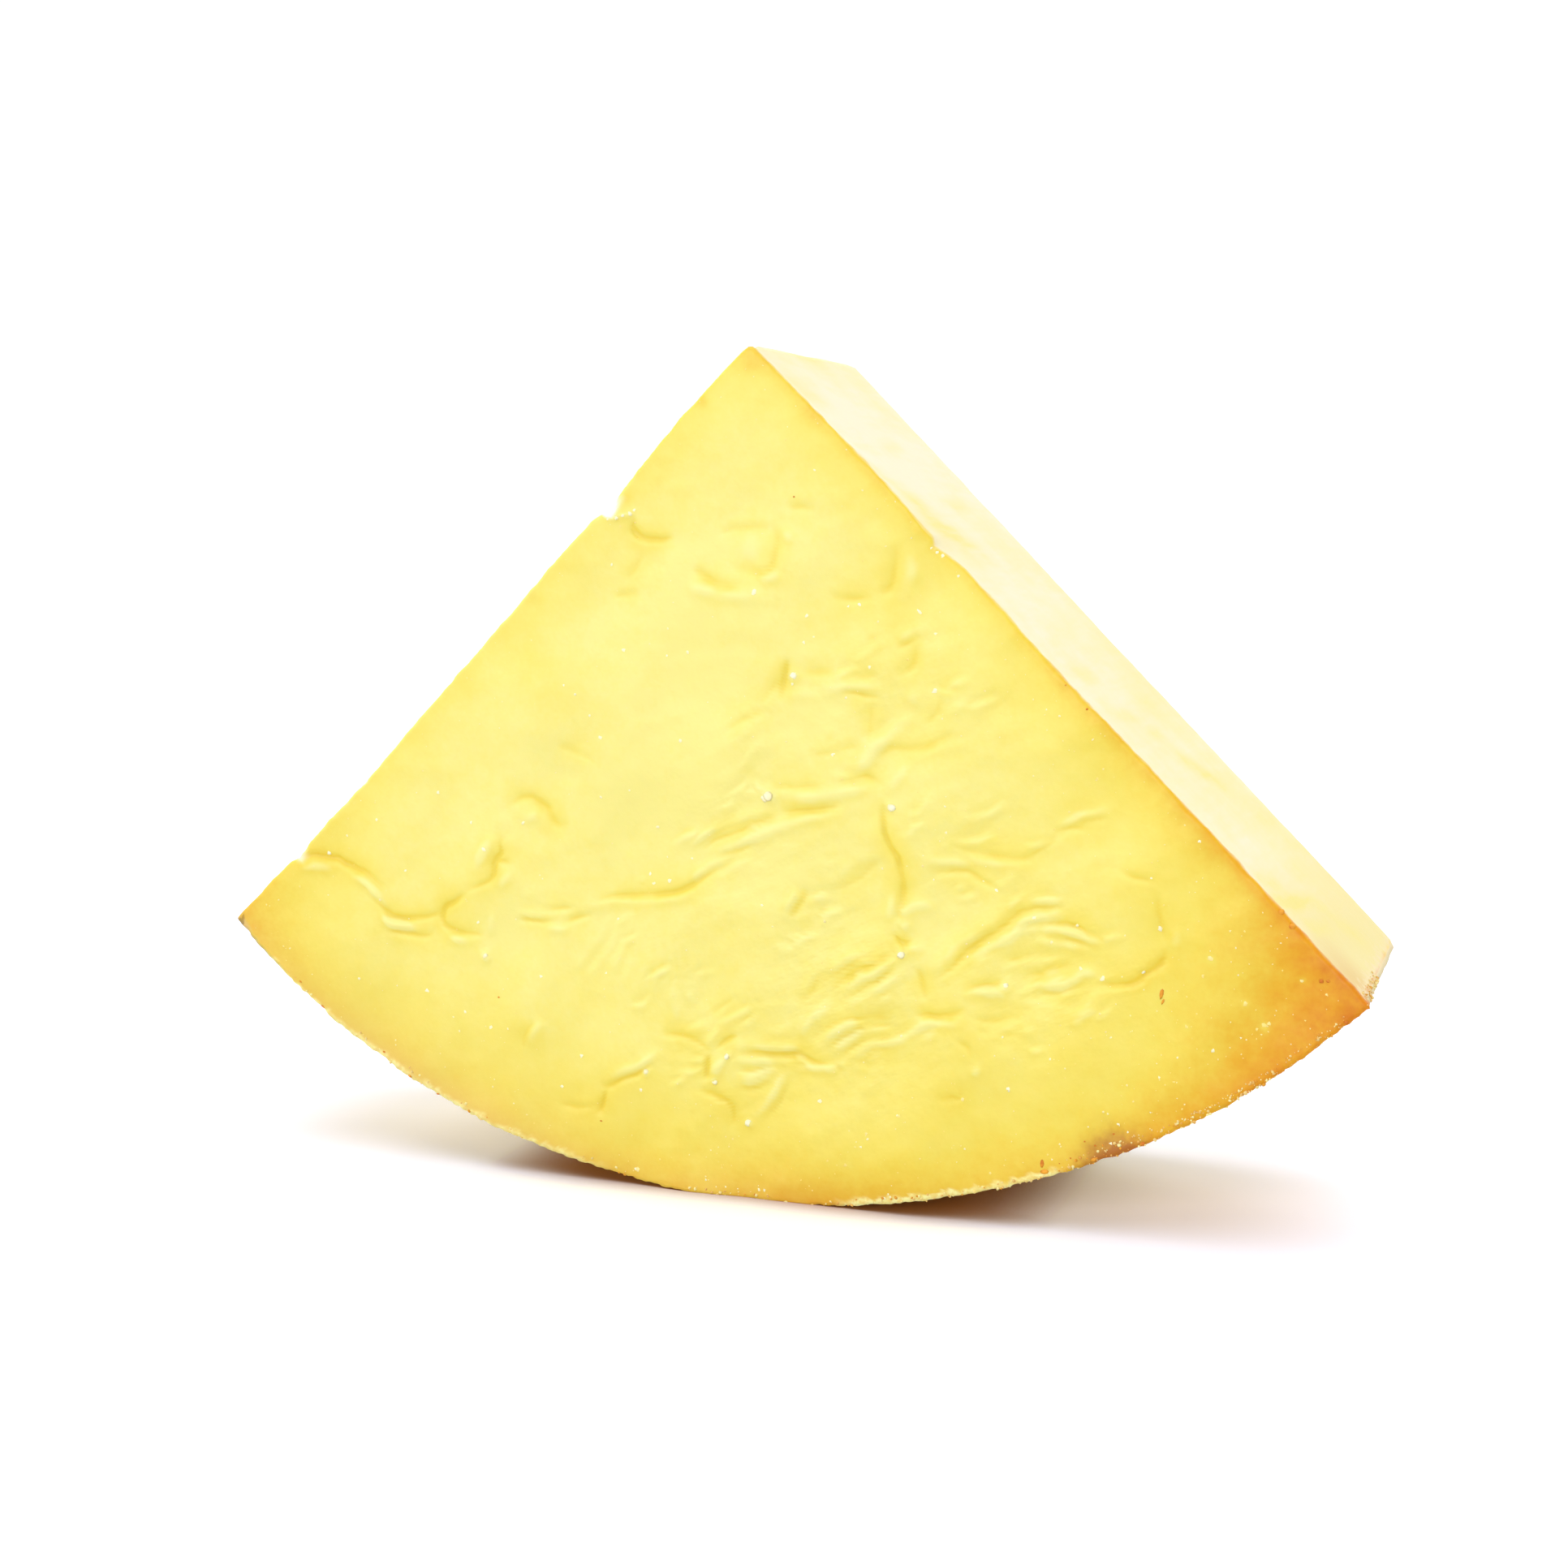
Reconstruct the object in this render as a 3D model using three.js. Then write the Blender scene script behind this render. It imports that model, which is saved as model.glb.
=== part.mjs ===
// A quarter of a small flat wheel of cheese, standing on its outer rind with the tip up.
// X runs to the right across the wrinkled rind face, Y from that face to the one behind it,
// and Z is up. The origin is the middle of the small flat that the wedge rests on.
// Places on a rind face are given from the tip: x to the right and d straight down.
import * as THREE from 'three';
import { mergeVertices } from 'three/addons/utils/BufferGeometryUtils.js';

// Driving dimensions, in millimetres and degrees
const wheelRadius = 120;
const wheelThickness = 44;
const cutAngle = 89.3;
const restSag = 0.42;

// The rind wall swells a little, and narrows towards the face behind
const wallSwell = 0.2;
const wallTaper = 0.25;

// Edge radii
const frontRimRadius = 1.3;
const backRimRadius = 3;
const cutEdgeRadius = 0.6;
const tipRadius = 1;

// Soft lumps all over the rind faces
const lumpCount = 9;
const lumpHeight = 0.09;
const longestLump = 46;
const shortestLump = 15;

// How far the relief of a rind face reaches down the walls
const reliefReach = 2.2;

// The hidden rind face has the first few creases again, mirrored and shallower
const backCreaseCount = 8;
const backReliefScale = 0.6;

// The mesh starts as a coarse block with lines along its rounded edges, and is refined where
// it misses the form. A miss away from the front face counts for less.
const blockCells = 12;
const blockLayers = 3;
const missTolerances = [0.6, 0.3, 0.2, 0.16, 0.14, 0.12];
const missShareElsewhere = 0.6;
const samplesPerEdge = 6;
const shortestEdge = 0.8;
const mostTriangles = 11600;

// Creases of the rind. Each has a groove and a rolled lip on the right hand of its line.
const creases = [
  { depth: 1.2, width: 1.2, lip: 0.5, line: [[-24.5, 78.4], [-15, 77.1], [-9, 75.7], [-3, 72], [3, 68.7]] },
  { depth: 0.8, width: 0.9, lip: 0.6, line: [[-8, 71], [-3.5, 68.8], [3, 65.6], [8, 64.7]] },
  { depth: 0.9, width: 0.9, lip: 0.4, line: [[3, 62.8], [9, 63.7], [16, 61.4]] },
  { depth: 0.5, width: 0.9, lip: 0.4, line: [[2, 60.3], [12, 59.9], [15.8, 58.4], [19.8, 60.3]] },
  { depth: 1, width: 1.1, lip: 0.5, line: [[19.4, 60.5], [20.2, 67], [22.4, 73], [20.4, 79]] },
  { depth: 1.1, width: 0.9, lip: 0.5, line: [[-1.8, 98.9], [7.5, 98.1], [9.2, 98.9], [13.6, 98.6]] },
  { depth: 1, width: 0.9, lip: 0.6, line: [[28, 85.9], [33.5, 80.8], [39.5, 76], [44.5, 75.3]] },
  { depth: 0.7, width: 0.9, lip: 0.4, line: [[41, 86.1], [54.3, 84.8], [59, 79.4], [57.2, 71.5]] },
  { depth: 0.5, width: 0.9, lip: 0.7, line: [[41, 77.3], [45.5, 77], [50.4, 78.9]] },
  { depth: 0.5, width: 1.1, lip: 0.4, line: [[25.5, 71.3], [32, 70.9], [38.2, 75]] },
  { depth: 0.4, width: 1.1, lip: 0.3, line: [[30, 68.7], [39, 69], [51, 64]] },
  { depth: 1, width: 0.9, lip: 0.7, line: [[-73.5, 74.6], [-66, 74.5], [-60.4, 76.8], [-57.3, 80.8]] },
  { depth: 0.7, width: 0.9, lip: 0.6, line: [[-60.8, 79.4], [-55.5, 82.7], [-50, 84.2]] },
  { depth: 1, width: 1.1, lip: 0.6, line: [[-36.8, 69.2], [-39.5, 74.5], [-48.4, 80.9], [-41.3, 84.3]] },
  { depth: 0.6, width: 1.2, lip: 0.4, line: [[-39.3, 65], [-34.3, 63.4], [-28, 68]] },
  { depth: 0.6, width: 0.9, lip: 0.3, line: [[-14, 96.7], [-7.5, 97], [-6.5, 102.5], [-3.3, 105.4]] },
  { depth: 0.7, width: 0.9, lip: 0.3, line: [[-24.5, 109], [-22.7, 106.2], [-17, 103.7], [-13.3, 99.7]] },
  { depth: 0.6, width: 1.1, lip: 0.5, line: [[-9, 30.7], [-4, 32.9], [1, 32.5]] },
  { depth: 0.9, width: 0.8, lip: 0.3, line: [[-17.8, 22.5], [-16.5, 26.1], [-11.3, 26.4]] },
  { depth: 0.7, width: 0.8, lip: 0.2, line: [[5.7, 43.3], [5.5, 46], [3.2, 51]] },
  { depth: 0.35, width: 1.2, lip: 0.2, line: [[21.4, 26.5], [20.5, 34.5], [11, 34.4]] },
];

// Sheaves of nearly parallel folds, spread evenly between a first and a last line
const sheaves = [
  {
    count: 4,
    fold: { depth: 0.6, width: 0.7, lip: 0.4 },
    first: [[10.3, 87], [16, 83.3], [21.5, 80.6]],
    last: [[14, 91], [18.5, 87.2], [22.5, 84.9]],
  },
  {
    count: 4,
    fold: { depth: 0.7, width: 0.7, lip: 0.5 },
    first: [[9.7, 97], [15.5, 92], [30, 88.8]],
    last: [[15.6, 98.6], [20.5, 95.3], [31.5, 90.6]],
  },
  {
    count: 6,
    fold: { depth: 0.25, width: 1, lip: 0.2 },
    first: [[-19, 80.5], [-22, 86], [-24, 92]],
    last: [[-10.5, 80.5], [-10.5, 87], [-10, 95]],
  },
];

// Raised welts: a negative groove
const welts = [
  { depth: -0.5, width: 1.1, lip: 0, line: [[6.8, 100.4], [2.6, 105.9], [0.3, 108.5]] },
  { depth: -0.5, width: 1.1, lip: 0, line: [[-41.2, 71.5], [-42.3, 74]] },
  { depth: -0.4, width: 1.1, lip: 0, line: [[30.4, 88.5], [36.3, 86.6]] },
];

// Small rounded knobs
const knobs = [
  { at: [0.7, 28], radius: 3.6, height: 0.45 },
  { at: [3.2, 61.9], radius: 1.3, height: 0.5 },
  { at: [6.3, 45.4], radius: 1.1, height: 0.5 },
  { at: [22.4, 83], radius: 1, height: 0.4 },
  { at: [37, 86.6], radius: 1.2, height: 0.4 },
];

// Chips out of the two long edges of the rind face: along is the distance from the tip
const chips = [
  { side: 'left', along: 30.5, length: 1.8, depth: 0.9 },
  { side: 'left', along: 103.5, length: 1.6, depth: 0.7 },
  { side: 'right', along: 39, length: 3, depth: 0.8 },
  { side: 'right', along: 51, length: 1.2, depth: 0.5 },
  { side: 'right', along: 69.5, length: 1.5, depth: 0.7 },
];

const halfCut = THREE.MathUtils.degToRad(cutAngle / 2);
const tipHeight = wheelRadius - restSag;
const goldenAngle = Math.PI * (3 - Math.sqrt(5));

const bell = (t) => Math.exp(-t * t);

// Smooth line through a few points, with evenly spaced steps
function traced(fold) {
  const spline = new THREE.SplineCurve(fold.line.map(([x, d]) => new THREE.Vector2(x, d)));
  const steps = (fold.line.length - 1) * 4;
  const points = spline.getSpacedPoints(steps);
  const box = new THREE.Box2().setFromPoints(points).expandByScalar(5 * fold.width);
  return { ...fold, points, box };
}

function lineBetween(first, last, share) {
  return first.map(([x, d], k) => [
    THREE.MathUtils.lerp(x, last[k][0], share),
    THREE.MathUtils.lerp(d, last[k][1], share),
  ]);
}

const sheafFolds = sheaves.flatMap(({ count, fold, first, last }) =>
  Array.from({ length: count }, (_, k) => ({ ...fold, line: lineBetween(first, last, k / (count - 1)) })));

const frontFolds = [...creases, ...sheafFolds, ...welts].map(traced);
const backFolds = frontFolds.slice(0, backCreaseCount);

// Height that one fold adds at a place: it fades out at both ends of its line
function foldHeight(fold, place) {
  if (!fold.box.containsPoint(place)) return 0;
  const last = fold.points.length - 1;
  let nearest = Infinity;
  let side = 1;
  let share = 0;
  for (let k = 0; k < last; k += 1) {
    const from = fold.points[k];
    const along = fold.points[k + 1].clone().sub(from);
    const offset = place.clone().sub(from);
    const t = THREE.MathUtils.clamp(offset.dot(along) / along.lengthSq(), 0, 1);
    const distance = offset.distanceTo(along.clone().multiplyScalar(t));
    if (distance < nearest) {
      nearest = distance;
      side = Math.sign(along.cross(offset)) || 1;
      share = (k + t) / last;
    }
  }
  const fade = 1 - (2 * share - 1) ** 4;
  const across = (side * nearest) / fold.width;
  const groove = -fold.depth * bell(across);
  const lip = fold.lip * (bell((across - 1.9) / 1.2) + 0.4 * bell((across + 2.2) / 1.3));
  return fade * (groove + lip);
}

// Sum of a few long waves, each turned by the golden angle from the one before
function lumps(x, d) {
  let height = 0;
  for (let k = 0; k < lumpCount; k += 1) {
    const turn = k * goldenAngle;
    const length = THREE.MathUtils.lerp(longestLump, shortestLump, k / (lumpCount - 1));
    const run = x * Math.cos(turn) + d * Math.sin(turn);
    height += lumpHeight * Math.sin((2 * Math.PI * run) / length + k * k);
  }
  return height;
}

function knobHeight(place) {
  return knobs.reduce((sum, { at, radius, height }) =>
    sum + height * bell(place.distanceTo(new THREE.Vector2(...at)) / radius), 0);
}

function foldsHeight(folds, place) {
  return folds.reduce((sum, fold) => sum + foldHeight(fold, place), 0);
}

function frontRelief(x, d) {
  const place = new THREE.Vector2(x, d);
  return lumps(x, d) + knobHeight(place) + foldsHeight(frontFolds, place);
}

function backRelief(x, d) {
  const place = new THREE.Vector2(-x, d);
  return lumps(-x, d) + backReliefScale * foldsHeight(backFolds, place);
}

// Rounds an edge: near and far are a point's distances inside the two faces that meet there.
// A point outside the circle that touches both faces moves onto it.
function rounded(near, far, radius) {
  const distance = Math.hypot(radius - near, radius - far);
  if (near >= radius || far >= radius || distance <= radius) return [0, 0];
  const reach = radius / distance;
  return [(radius - near) * (1 - reach), (radius - far) * (1 - reach)];
}

// Depth of the chips at a place on an edge of the front face
function chipDepth(side, along, inward) {
  return chips.filter((chip) => chip.side === side).reduce((sum, { along: at, length, depth }) =>
    sum + depth * bell((along - at) / length) * bell(inward / depth), 0);
}

// The form: a block with sides right, left and through from 0 to 1 becomes a quarter of a
// wheel. The square of the first two is wrapped round the tip, ring by ring.
function formPoint(right, left, through) {
  const ring = Math.max(right, left);
  const share = ring > 0 ? Math.min(right, left) / ring : 0;
  const turn = right >= left ? halfCut * (1 - share) : -halfCut * (1 - share);
  const wallRadius = wheelRadius - wallSwell * (2 * through - 1) ** 2 - wallTaper * through ** 2;
  const radius = ring * wallRadius;
  const x = radius * Math.sin(turn);
  const d = radius * Math.cos(turn);
  const y = through * wheelThickness;

  const fromRight = d * Math.sin(halfCut) - x * Math.cos(halfCut);
  const fromLeft = d * Math.sin(halfCut) + x * Math.cos(halfCut);
  const fromRim = (1 - ring) * wheelRadius;
  const fromBack = wheelThickness - y;

  // Inward directions of the faces, as (x, d, y)
  const inFront = new THREE.Vector3(0, 0, 1);
  const inBack = new THREE.Vector3(0, 0, -1);
  const inRight = new THREE.Vector3(-Math.cos(halfCut), Math.sin(halfCut), 0);
  const inLeft = new THREE.Vector3(Math.cos(halfCut), Math.sin(halfCut), 0);
  const inRim = new THREE.Vector3(-Math.sin(turn), -Math.cos(turn), 0);
  const edges = [
    [fromRim, inRim, y, inFront, frontRimRadius],
    [fromRim, inRim, fromBack, inBack, backRimRadius],
    [fromRight, inRight, y, inFront, cutEdgeRadius],
    [fromRight, inRight, fromBack, inBack, cutEdgeRadius],
    [fromLeft, inLeft, y, inFront, cutEdgeRadius],
    [fromLeft, inLeft, fromBack, inBack, cutEdgeRadius],
    [fromRight, inRight, fromLeft, inLeft, tipRadius],
    [fromRight, inRight, fromRim, inRim, cutEdgeRadius],
    [fromLeft, inLeft, fromRim, inRim, cutEdgeRadius],
  ];
  const point = new THREE.Vector3(x, d, y);
  for (const [near, inNear, far, inFar, edgeRadius] of edges) {
    const [moveNear, moveFar] = rounded(near, far, edgeRadius);
    point.addScaledVector(inNear, moveNear).addScaledVector(inFar, moveFar);
  }

  const rightChip = chipDepth('right', ring * wheelRadius, fromRight + y);
  const leftChip = chipDepth('left', ring * wheelRadius, fromLeft + y);
  point.addScaledVector(inRight, rightChip).addScaledVector(inLeft, leftChip);
  point.addScaledVector(inFront, rightChip + leftChip);

  point.addScaledVector(inBack, frontRelief(x, d) * bell(y / reliefReach));
  point.addScaledVector(inFront, backRelief(x, d) * bell(fromBack / reliefReach));

  const height = Math.max(tipHeight - point.y, 0);
  return new THREE.Vector3(point.x, point.z - wheelThickness / 2, height);
}

// A mesh is a list of block places, their points, and triangles with the outside to the left
function newMesh() {
  return { places: [], points: [], triangles: [], known: new Map() };
}

function addPlace(mesh, place) {
  const key = place.map((value) => value.toFixed(9)).join(' ');
  if (!mesh.known.has(key)) {
    mesh.known.set(key, mesh.places.length);
    mesh.places.push(place);
    mesh.points.push(formPoint(...place));
  }
  return mesh.known.get(key);
}

// Grid lines from 0 to 1: even cells, and a line or two where each edge is rounded
function gridLines(cells, startRounding, endRounding) {
  const even = Array.from({ length: cells + 1 }, (_, k) => k / cells);
  const extra = [startRounding / 2, startRounding, 1 - endRounding, 1 - endRounding / 2];
  return [...even, ...extra].sort((low, high) => low - high);
}

// One side of the block, as a grid of cells. Each cell is split towards the far corner.
function addSide(mesh, columns, rows, placeAt, turned) {
  const at = (i, j) => addPlace(mesh, placeAt(columns[i], rows[j]));
  for (let i = 0; i < columns.length - 1; i += 1) {
    for (let j = 0; j < rows.length - 1; j += 1) {
      const corners = [at(i, j), at(i + 1, j), at(i + 1, j + 1), at(i, j + 1)];
      const [a, b, c, d] = turned ? corners : [corners[0], corners[3], corners[2], corners[1]];
      mesh.triangles.push([a, b, c], [a, c, d]);
    }
  }
}

function blockMesh() {
  const mesh = newMesh();
  const across = gridLines(blockCells, tipRadius / wheelRadius, backRimRadius / wheelRadius);
  const deep = gridLines(blockLayers, frontRimRadius / wheelThickness, backRimRadius / wheelThickness);
  addSide(mesh, across, across, (u, v) => [u, v, 0], false);
  addSide(mesh, across, across, (u, v) => [u, v, 1], true);
  addSide(mesh, across, deep, (u, w) => [u, 0, w], true);
  addSide(mesh, across, deep, (u, w) => [u, 1, w], false);
  addSide(mesh, across, deep, (v, w) => [0, v, w], false);
  addSide(mesh, across, deep, (v, w) => [1, v, w], true);
  return mesh;
}

const edgeKey = (a, b) => (a < b ? `${a} ${b}` : `${b} ${a}`);

// The triangle turned so that its longest edge comes first
function longestFirst(mesh, [a, b, c]) {
  const turns = [[a, b, c], [b, c, a], [c, a, b]];
  const length = ([from, to]) => mesh.points[from].distanceTo(mesh.points[to]);
  const rank = (turn) => [length(turn).toFixed(6).padStart(12), edgeKey(turn[0], turn[1])].join(' ');
  return turns.reduce((best, turn) => (rank(turn) > rank(best) ? turn : best));
}

// Farthest that the form strays from a straight edge
function edgeMiss(mesh, misses, a, b) {
  const key = edgeKey(a, b);
  if (!misses.has(key)) {
    const from = mesh.places[a];
    const to = mesh.places[b];
    const edge = new THREE.Line3(mesh.points[a], mesh.points[b]);
    let miss = 0;
    for (let k = 1; k < samplesPerEdge; k += 1) {
      const sample = formPoint(...from.map((value, n) => value + ((to[n] - value) * k) / samplesPerEdge));
      const foot = edge.closestPointToPoint(sample, true, new THREE.Vector3());
      miss = Math.max(miss, sample.distanceTo(foot));
    }
    const weight = from[2] + to[2] > 0 ? missShareElsewhere : 1;
    misses.set(key, edge.distance() > shortestEdge ? weight * miss : 0);
  }
  return misses.get(key);
}

function middlePlace(mesh, a, b) {
  return addPlace(mesh, mesh.places[a].map((value, n) => (value + mesh.places[b][n]) / 2));
}

// Halves marked triangles at their longest edge, and the halves at an edge that is marked too
function halved(mesh, marked, triangle) {
  const [a, b, c] = triangle;
  if (!marked.has(edgeKey(a, b))) return [triangle];
  const middle = middlePlace(mesh, a, b);
  return [[c, a, middle], [b, c, middle]].flatMap((half) => halved(mesh, marked, half));
}

// One round of refinement. Marking spreads until each triangle that has a marked edge has
// its longest edge marked, so neighbours always share whole edges.
function refined(mesh, misses, tolerance) {
  const turned = mesh.triangles.map((triangle) => longestFirst(mesh, triangle));
  const marked = new Set();
  for (const [a, b, c] of turned) {
    const sides = [[a, b], [b, c], [c, a]];
    const missed = sides.some(([from, to]) => edgeMiss(mesh, misses, from, to) > tolerance);
    if (missed) marked.add(edgeKey(a, b));
  }
  if (marked.size === 0) return false;
  let before = -1;
  while (before !== marked.size) {
    before = marked.size;
    for (const [a, b, c] of turned) {
      if (marked.has(edgeKey(b, c)) || marked.has(edgeKey(c, a))) marked.add(edgeKey(a, b));
    }
  }
  const triangles = turned.flatMap((triangle) => halved(mesh, marked, triangle));
  if (triangles.length > mostTriangles) return false;
  mesh.triangles = triangles;
  return true;
}

function wedgeGeometry() {
  const mesh = blockMesh();
  const misses = new Map();
  for (const tolerance of missTolerances) {
    let more = true;
    while (more) more = refined(mesh, misses, tolerance);
  }
  const corners = mesh.triangles.flat().map((k) => mesh.points[k]);
  const geometry = mergeVertices(new THREE.BufferGeometry().setFromPoints(corners));
  geometry.computeVertexNormals();
  return geometry;
}

const cheese = new THREE.MeshStandardMaterial({ color: '#fbe58a', roughness: 0.55, metalness: 0 });
const wedge = new THREE.Mesh(wedgeGeometry(), cheese);
wedge.name = 'cheese_wedge';

const model = new THREE.Group();
model.add(wedge);

export default model;
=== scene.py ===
import math
import bpy
import numpy as np
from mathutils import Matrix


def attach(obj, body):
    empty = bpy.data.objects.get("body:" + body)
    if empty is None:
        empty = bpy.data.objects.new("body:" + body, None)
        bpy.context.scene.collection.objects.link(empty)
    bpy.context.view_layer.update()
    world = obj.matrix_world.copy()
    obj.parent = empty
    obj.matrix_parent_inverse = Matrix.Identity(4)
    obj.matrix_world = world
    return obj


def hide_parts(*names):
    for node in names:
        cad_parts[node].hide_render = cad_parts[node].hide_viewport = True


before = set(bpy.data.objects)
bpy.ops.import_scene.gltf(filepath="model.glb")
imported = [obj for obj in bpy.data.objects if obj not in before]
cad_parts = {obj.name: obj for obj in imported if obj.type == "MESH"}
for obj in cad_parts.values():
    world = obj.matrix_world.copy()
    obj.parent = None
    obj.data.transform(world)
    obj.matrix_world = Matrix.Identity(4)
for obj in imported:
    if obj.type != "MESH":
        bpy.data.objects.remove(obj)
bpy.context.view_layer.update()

mm = 0.001

# Place is in mm from the origin, turn is azimuth, downward tilt and roll in degrees
cameraSetup = {
    "place": (110.7, -307.9, 95.4),
    "turn": (20.27, 6.73, -0.12),
    "lens": 51.0,
    "sensor": 36.0,
    "clip": (0.01, 100),
}


def makeCamera(setup):
    data = bpy.data.cameras.new("camera")
    data.lens, data.sensor_width = setup["lens"], setup["sensor"]
    data.clip_start, data.clip_end = setup["clip"]
    camera = bpy.data.objects.new("camera", data)
    bpy.context.scene.collection.objects.link(camera)
    azimuth, tilt, roll = (math.radians(a) for a in setup["turn"])
    camera.rotation_euler = (math.pi / 2 - tilt, roll, azimuth)
    camera.location = [v * mm for v in setup["place"]]
    bpy.context.scene.camera = camera


makeCamera(cameraSetup)
print("camera made")


# Short ways to add and join shader nodes

def feed(tree, socket, value):
    if isinstance(value, bpy.types.NodeSocket):
        tree.links.new(value, socket)
    else:
        socket.default_value = value


def addNode(tree, kind, inputs=None, **settings):
    node = tree.nodes.new(kind)
    for key, value in settings.items():
        setattr(node, key, value)
    for key, value in (inputs or {}).items():
        feed(tree, node.inputs[key], value)
    return node


def calc(tree, operation, a, b=0.0):
    return addNode(tree, "ShaderNodeMath", {0: a, 1: b}, operation=operation).outputs[0]


def ease(tree, value, low, high, top=1.0):
    limits = {"Value": value, "From Min": low, "From Max": high, "To Max": top}
    return addNode(tree, "ShaderNodeMapRange", limits, interpolation_type="SMOOTHSTEP").outputs["Result"]


def blendColor(tree, share, a, b, how="MIX"):
    node = addNode(tree, "ShaderNodeMix", data_type="RGBA", blend_type=how)
    for key, value in ((0, share), (6, a), (7, b)):
        feed(tree, node.inputs[key], value)
    return node.outputs[2]


def fact(tree, name):
    return addNode(tree, "ShaderNodeAttribute", attribute_name=name).outputs["Fac"]


def cloud(tree, place, scale, detail):
    node = addNode(tree, "ShaderNodeTexNoise", {"Vector": place, "Scale": scale, "Detail": detail})
    return node.outputs["Fac"]


def newMaterial(name):
    material = bpy.data.materials.new(name)
    material.use_nodes = True
    return material, material.node_tree, material.node_tree.nodes["Principled BSDF"]


# Screen colour from 0 to 255 to linear light, divided by the red, green and blue light on that face
def linear(screen, lit=(1, 1, 1)):
    values = [v / 255 for v in screen]
    values = [v / 12.92 if v <= 0.04045 else ((v + 0.055) / 1.055) ** 2.4 for v in values]
    return tuple(v / share for v, share in zip(values, lit)) + (1,)


# Metres. Seen is the brightness to the eye. The floor under a near thing has a painted shadow: it goes
# from the shadow colour to its seen colour between two shares of open sky within the reach. Suns are
# soft: angle is their width in degrees, from is where they stand.
studio = {
    "floorSize": 60.0,
    "floorColor": (0.62, 0.61, 0.6, 1),
    "floorSeen": (1.09, 1.1, 1.25, 1),
    "floorPaintedShadow": (0.4, 0.17, 0.06, 1),
    "paintedShadowReach": 0.0078,
    "paintedShadowOpen": (0.15, 1.0),
    "roomSeen": 1.05,
    "skyStrength": 0.13,
    "skyColor": (1.0, 0.99, 0.97, 1),
    "suns": [
        {"name": "overhead", "strength": 1.5, "angle": 60, "from": (0.1, -0.15, 1.0)},
        {"name": "front", "strength": 2.66, "angle": 50, "from": (-0.3, -1.0, 0.12)},
        {"name": "back", "strength": 1.8, "angle": 80, "from": (0.0, 1.0, 0.2)},
        {"name": "left", "strength": 1.6, "angle": 70, "from": (-1.0, 0.3, 0.45)},
        {"name": "right", "strength": 1.5, "angle": 70, "from": (1.0, 0.2, 0.3)},
    ],
}


# The floor and the room are bright white to the eye and plain pale to the light they pass on. The floor
# has a brown painted shadow where something stands closely over it.
def makeStudio(setup):
    scene = bpy.context.scene
    scene.view_settings.view_transform = "Standard"
    scene.view_settings.look = "None"
    world = bpy.data.worlds.new("whiteRoom")
    scene.world = world
    world.use_nodes = True
    tree = world.node_tree
    sky = tree.nodes["Background"]
    sky.inputs["Color"].default_value = setup["skyColor"]
    sky.inputs["Strength"].default_value = setup["skyStrength"]
    white = addNode(tree, "ShaderNodeBackground", {"Color": (1, 1, 1, 1), "Strength": setup["roomSeen"]})
    seen = addNode(tree, "ShaderNodeLightPath").outputs["Is Camera Ray"]
    room = addNode(tree, "ShaderNodeMixShader", {0: seen, 1: sky.outputs[0], 2: white.outputs[0]})
    tree.links.new(room.outputs[0], tree.nodes["World Output"].inputs["Surface"])

    for sun in setup["suns"]:
        data = bpy.data.lights.new(sun["name"], "SUN")
        data.energy, data.angle = sun["strength"], math.radians(sun["angle"])
        lamp = bpy.data.objects.new(sun["name"], data)
        scene.collection.objects.link(lamp)
        x, y, z = sun["from"]
        lamp.rotation_euler = (math.atan2(math.hypot(x, y), z), 0, math.atan2(x, -y))

    half = setup["floorSize"] / 2
    mesh = bpy.data.meshes.new("floor")
    corners = [(-half, -half, 0), (half, -half, 0), (half, half, 0), (-half, half, 0)]
    mesh.from_pydata(corners, [], [(0, 1, 2, 3)])
    floor = bpy.data.objects.new("floor", mesh)
    scene.collection.objects.link(floor)
    material = bpy.data.materials.new("floorWhite")
    material.use_nodes = True
    tree = material.node_tree
    tree.nodes.remove(tree.nodes["Principled BSDF"])
    seen = addNode(tree, "ShaderNodeLightPath").outputs["Is Camera Ray"]
    # Painted contact shadow: the seen floor colour goes brown where little open sky is found nearby
    clear = addNode(tree, "ShaderNodeAmbientOcclusion", {"Distance": setup["paintedShadowReach"]}).outputs["AO"]
    tone = blendColor(tree, ease(tree, clear, *setup["paintedShadowOpen"]), setup["floorPaintedShadow"], setup["floorSeen"])
    tone = blendColor(tree, seen, setup["floorColor"], tone)
    matt = addNode(tree, "ShaderNodeBsdfDiffuse", {"Color": tone})
    tree.links.new(matt.outputs[0], tree.nodes["Material Output"].inputs["Surface"])
    mesh.materials.append(material)


makeStudio(studio)
print("studio made")


# Millimetres and degrees. Places on a rind face are (x, d): right of the tip and straight below it.
# Rim, edge and tip sizes are rounding radii, and the left corner's is that many times the cut edge's.
wedgeForm = {
    "radius": 120.0,
    "thickness": 44.0,
    "cutAngle": 89.3,
    "restSag": 0.42,
    "wallSwell": 0.2,
    "wallTaper": 0.25,
    "frontRim": 0.24,
    "backRim": 3.0,
    "cutEdge": 0.35,
    "leftCorner": 2,
    "tip": 0.9,
    "reliefReach": 2.0,
    "backRelief": 0.8,
    "backWiden": 1.7,
    "frontSeed": 0.0,
    "backSeed": 20.0,
    "grooveScale": 0.55,
    "ridgeScale": 0.62,
}

halfCut = math.radians(wedgeForm["cutAngle"] / 2)
sinCut, cosCut = math.sin(halfCut), math.cos(halfCut)

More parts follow.
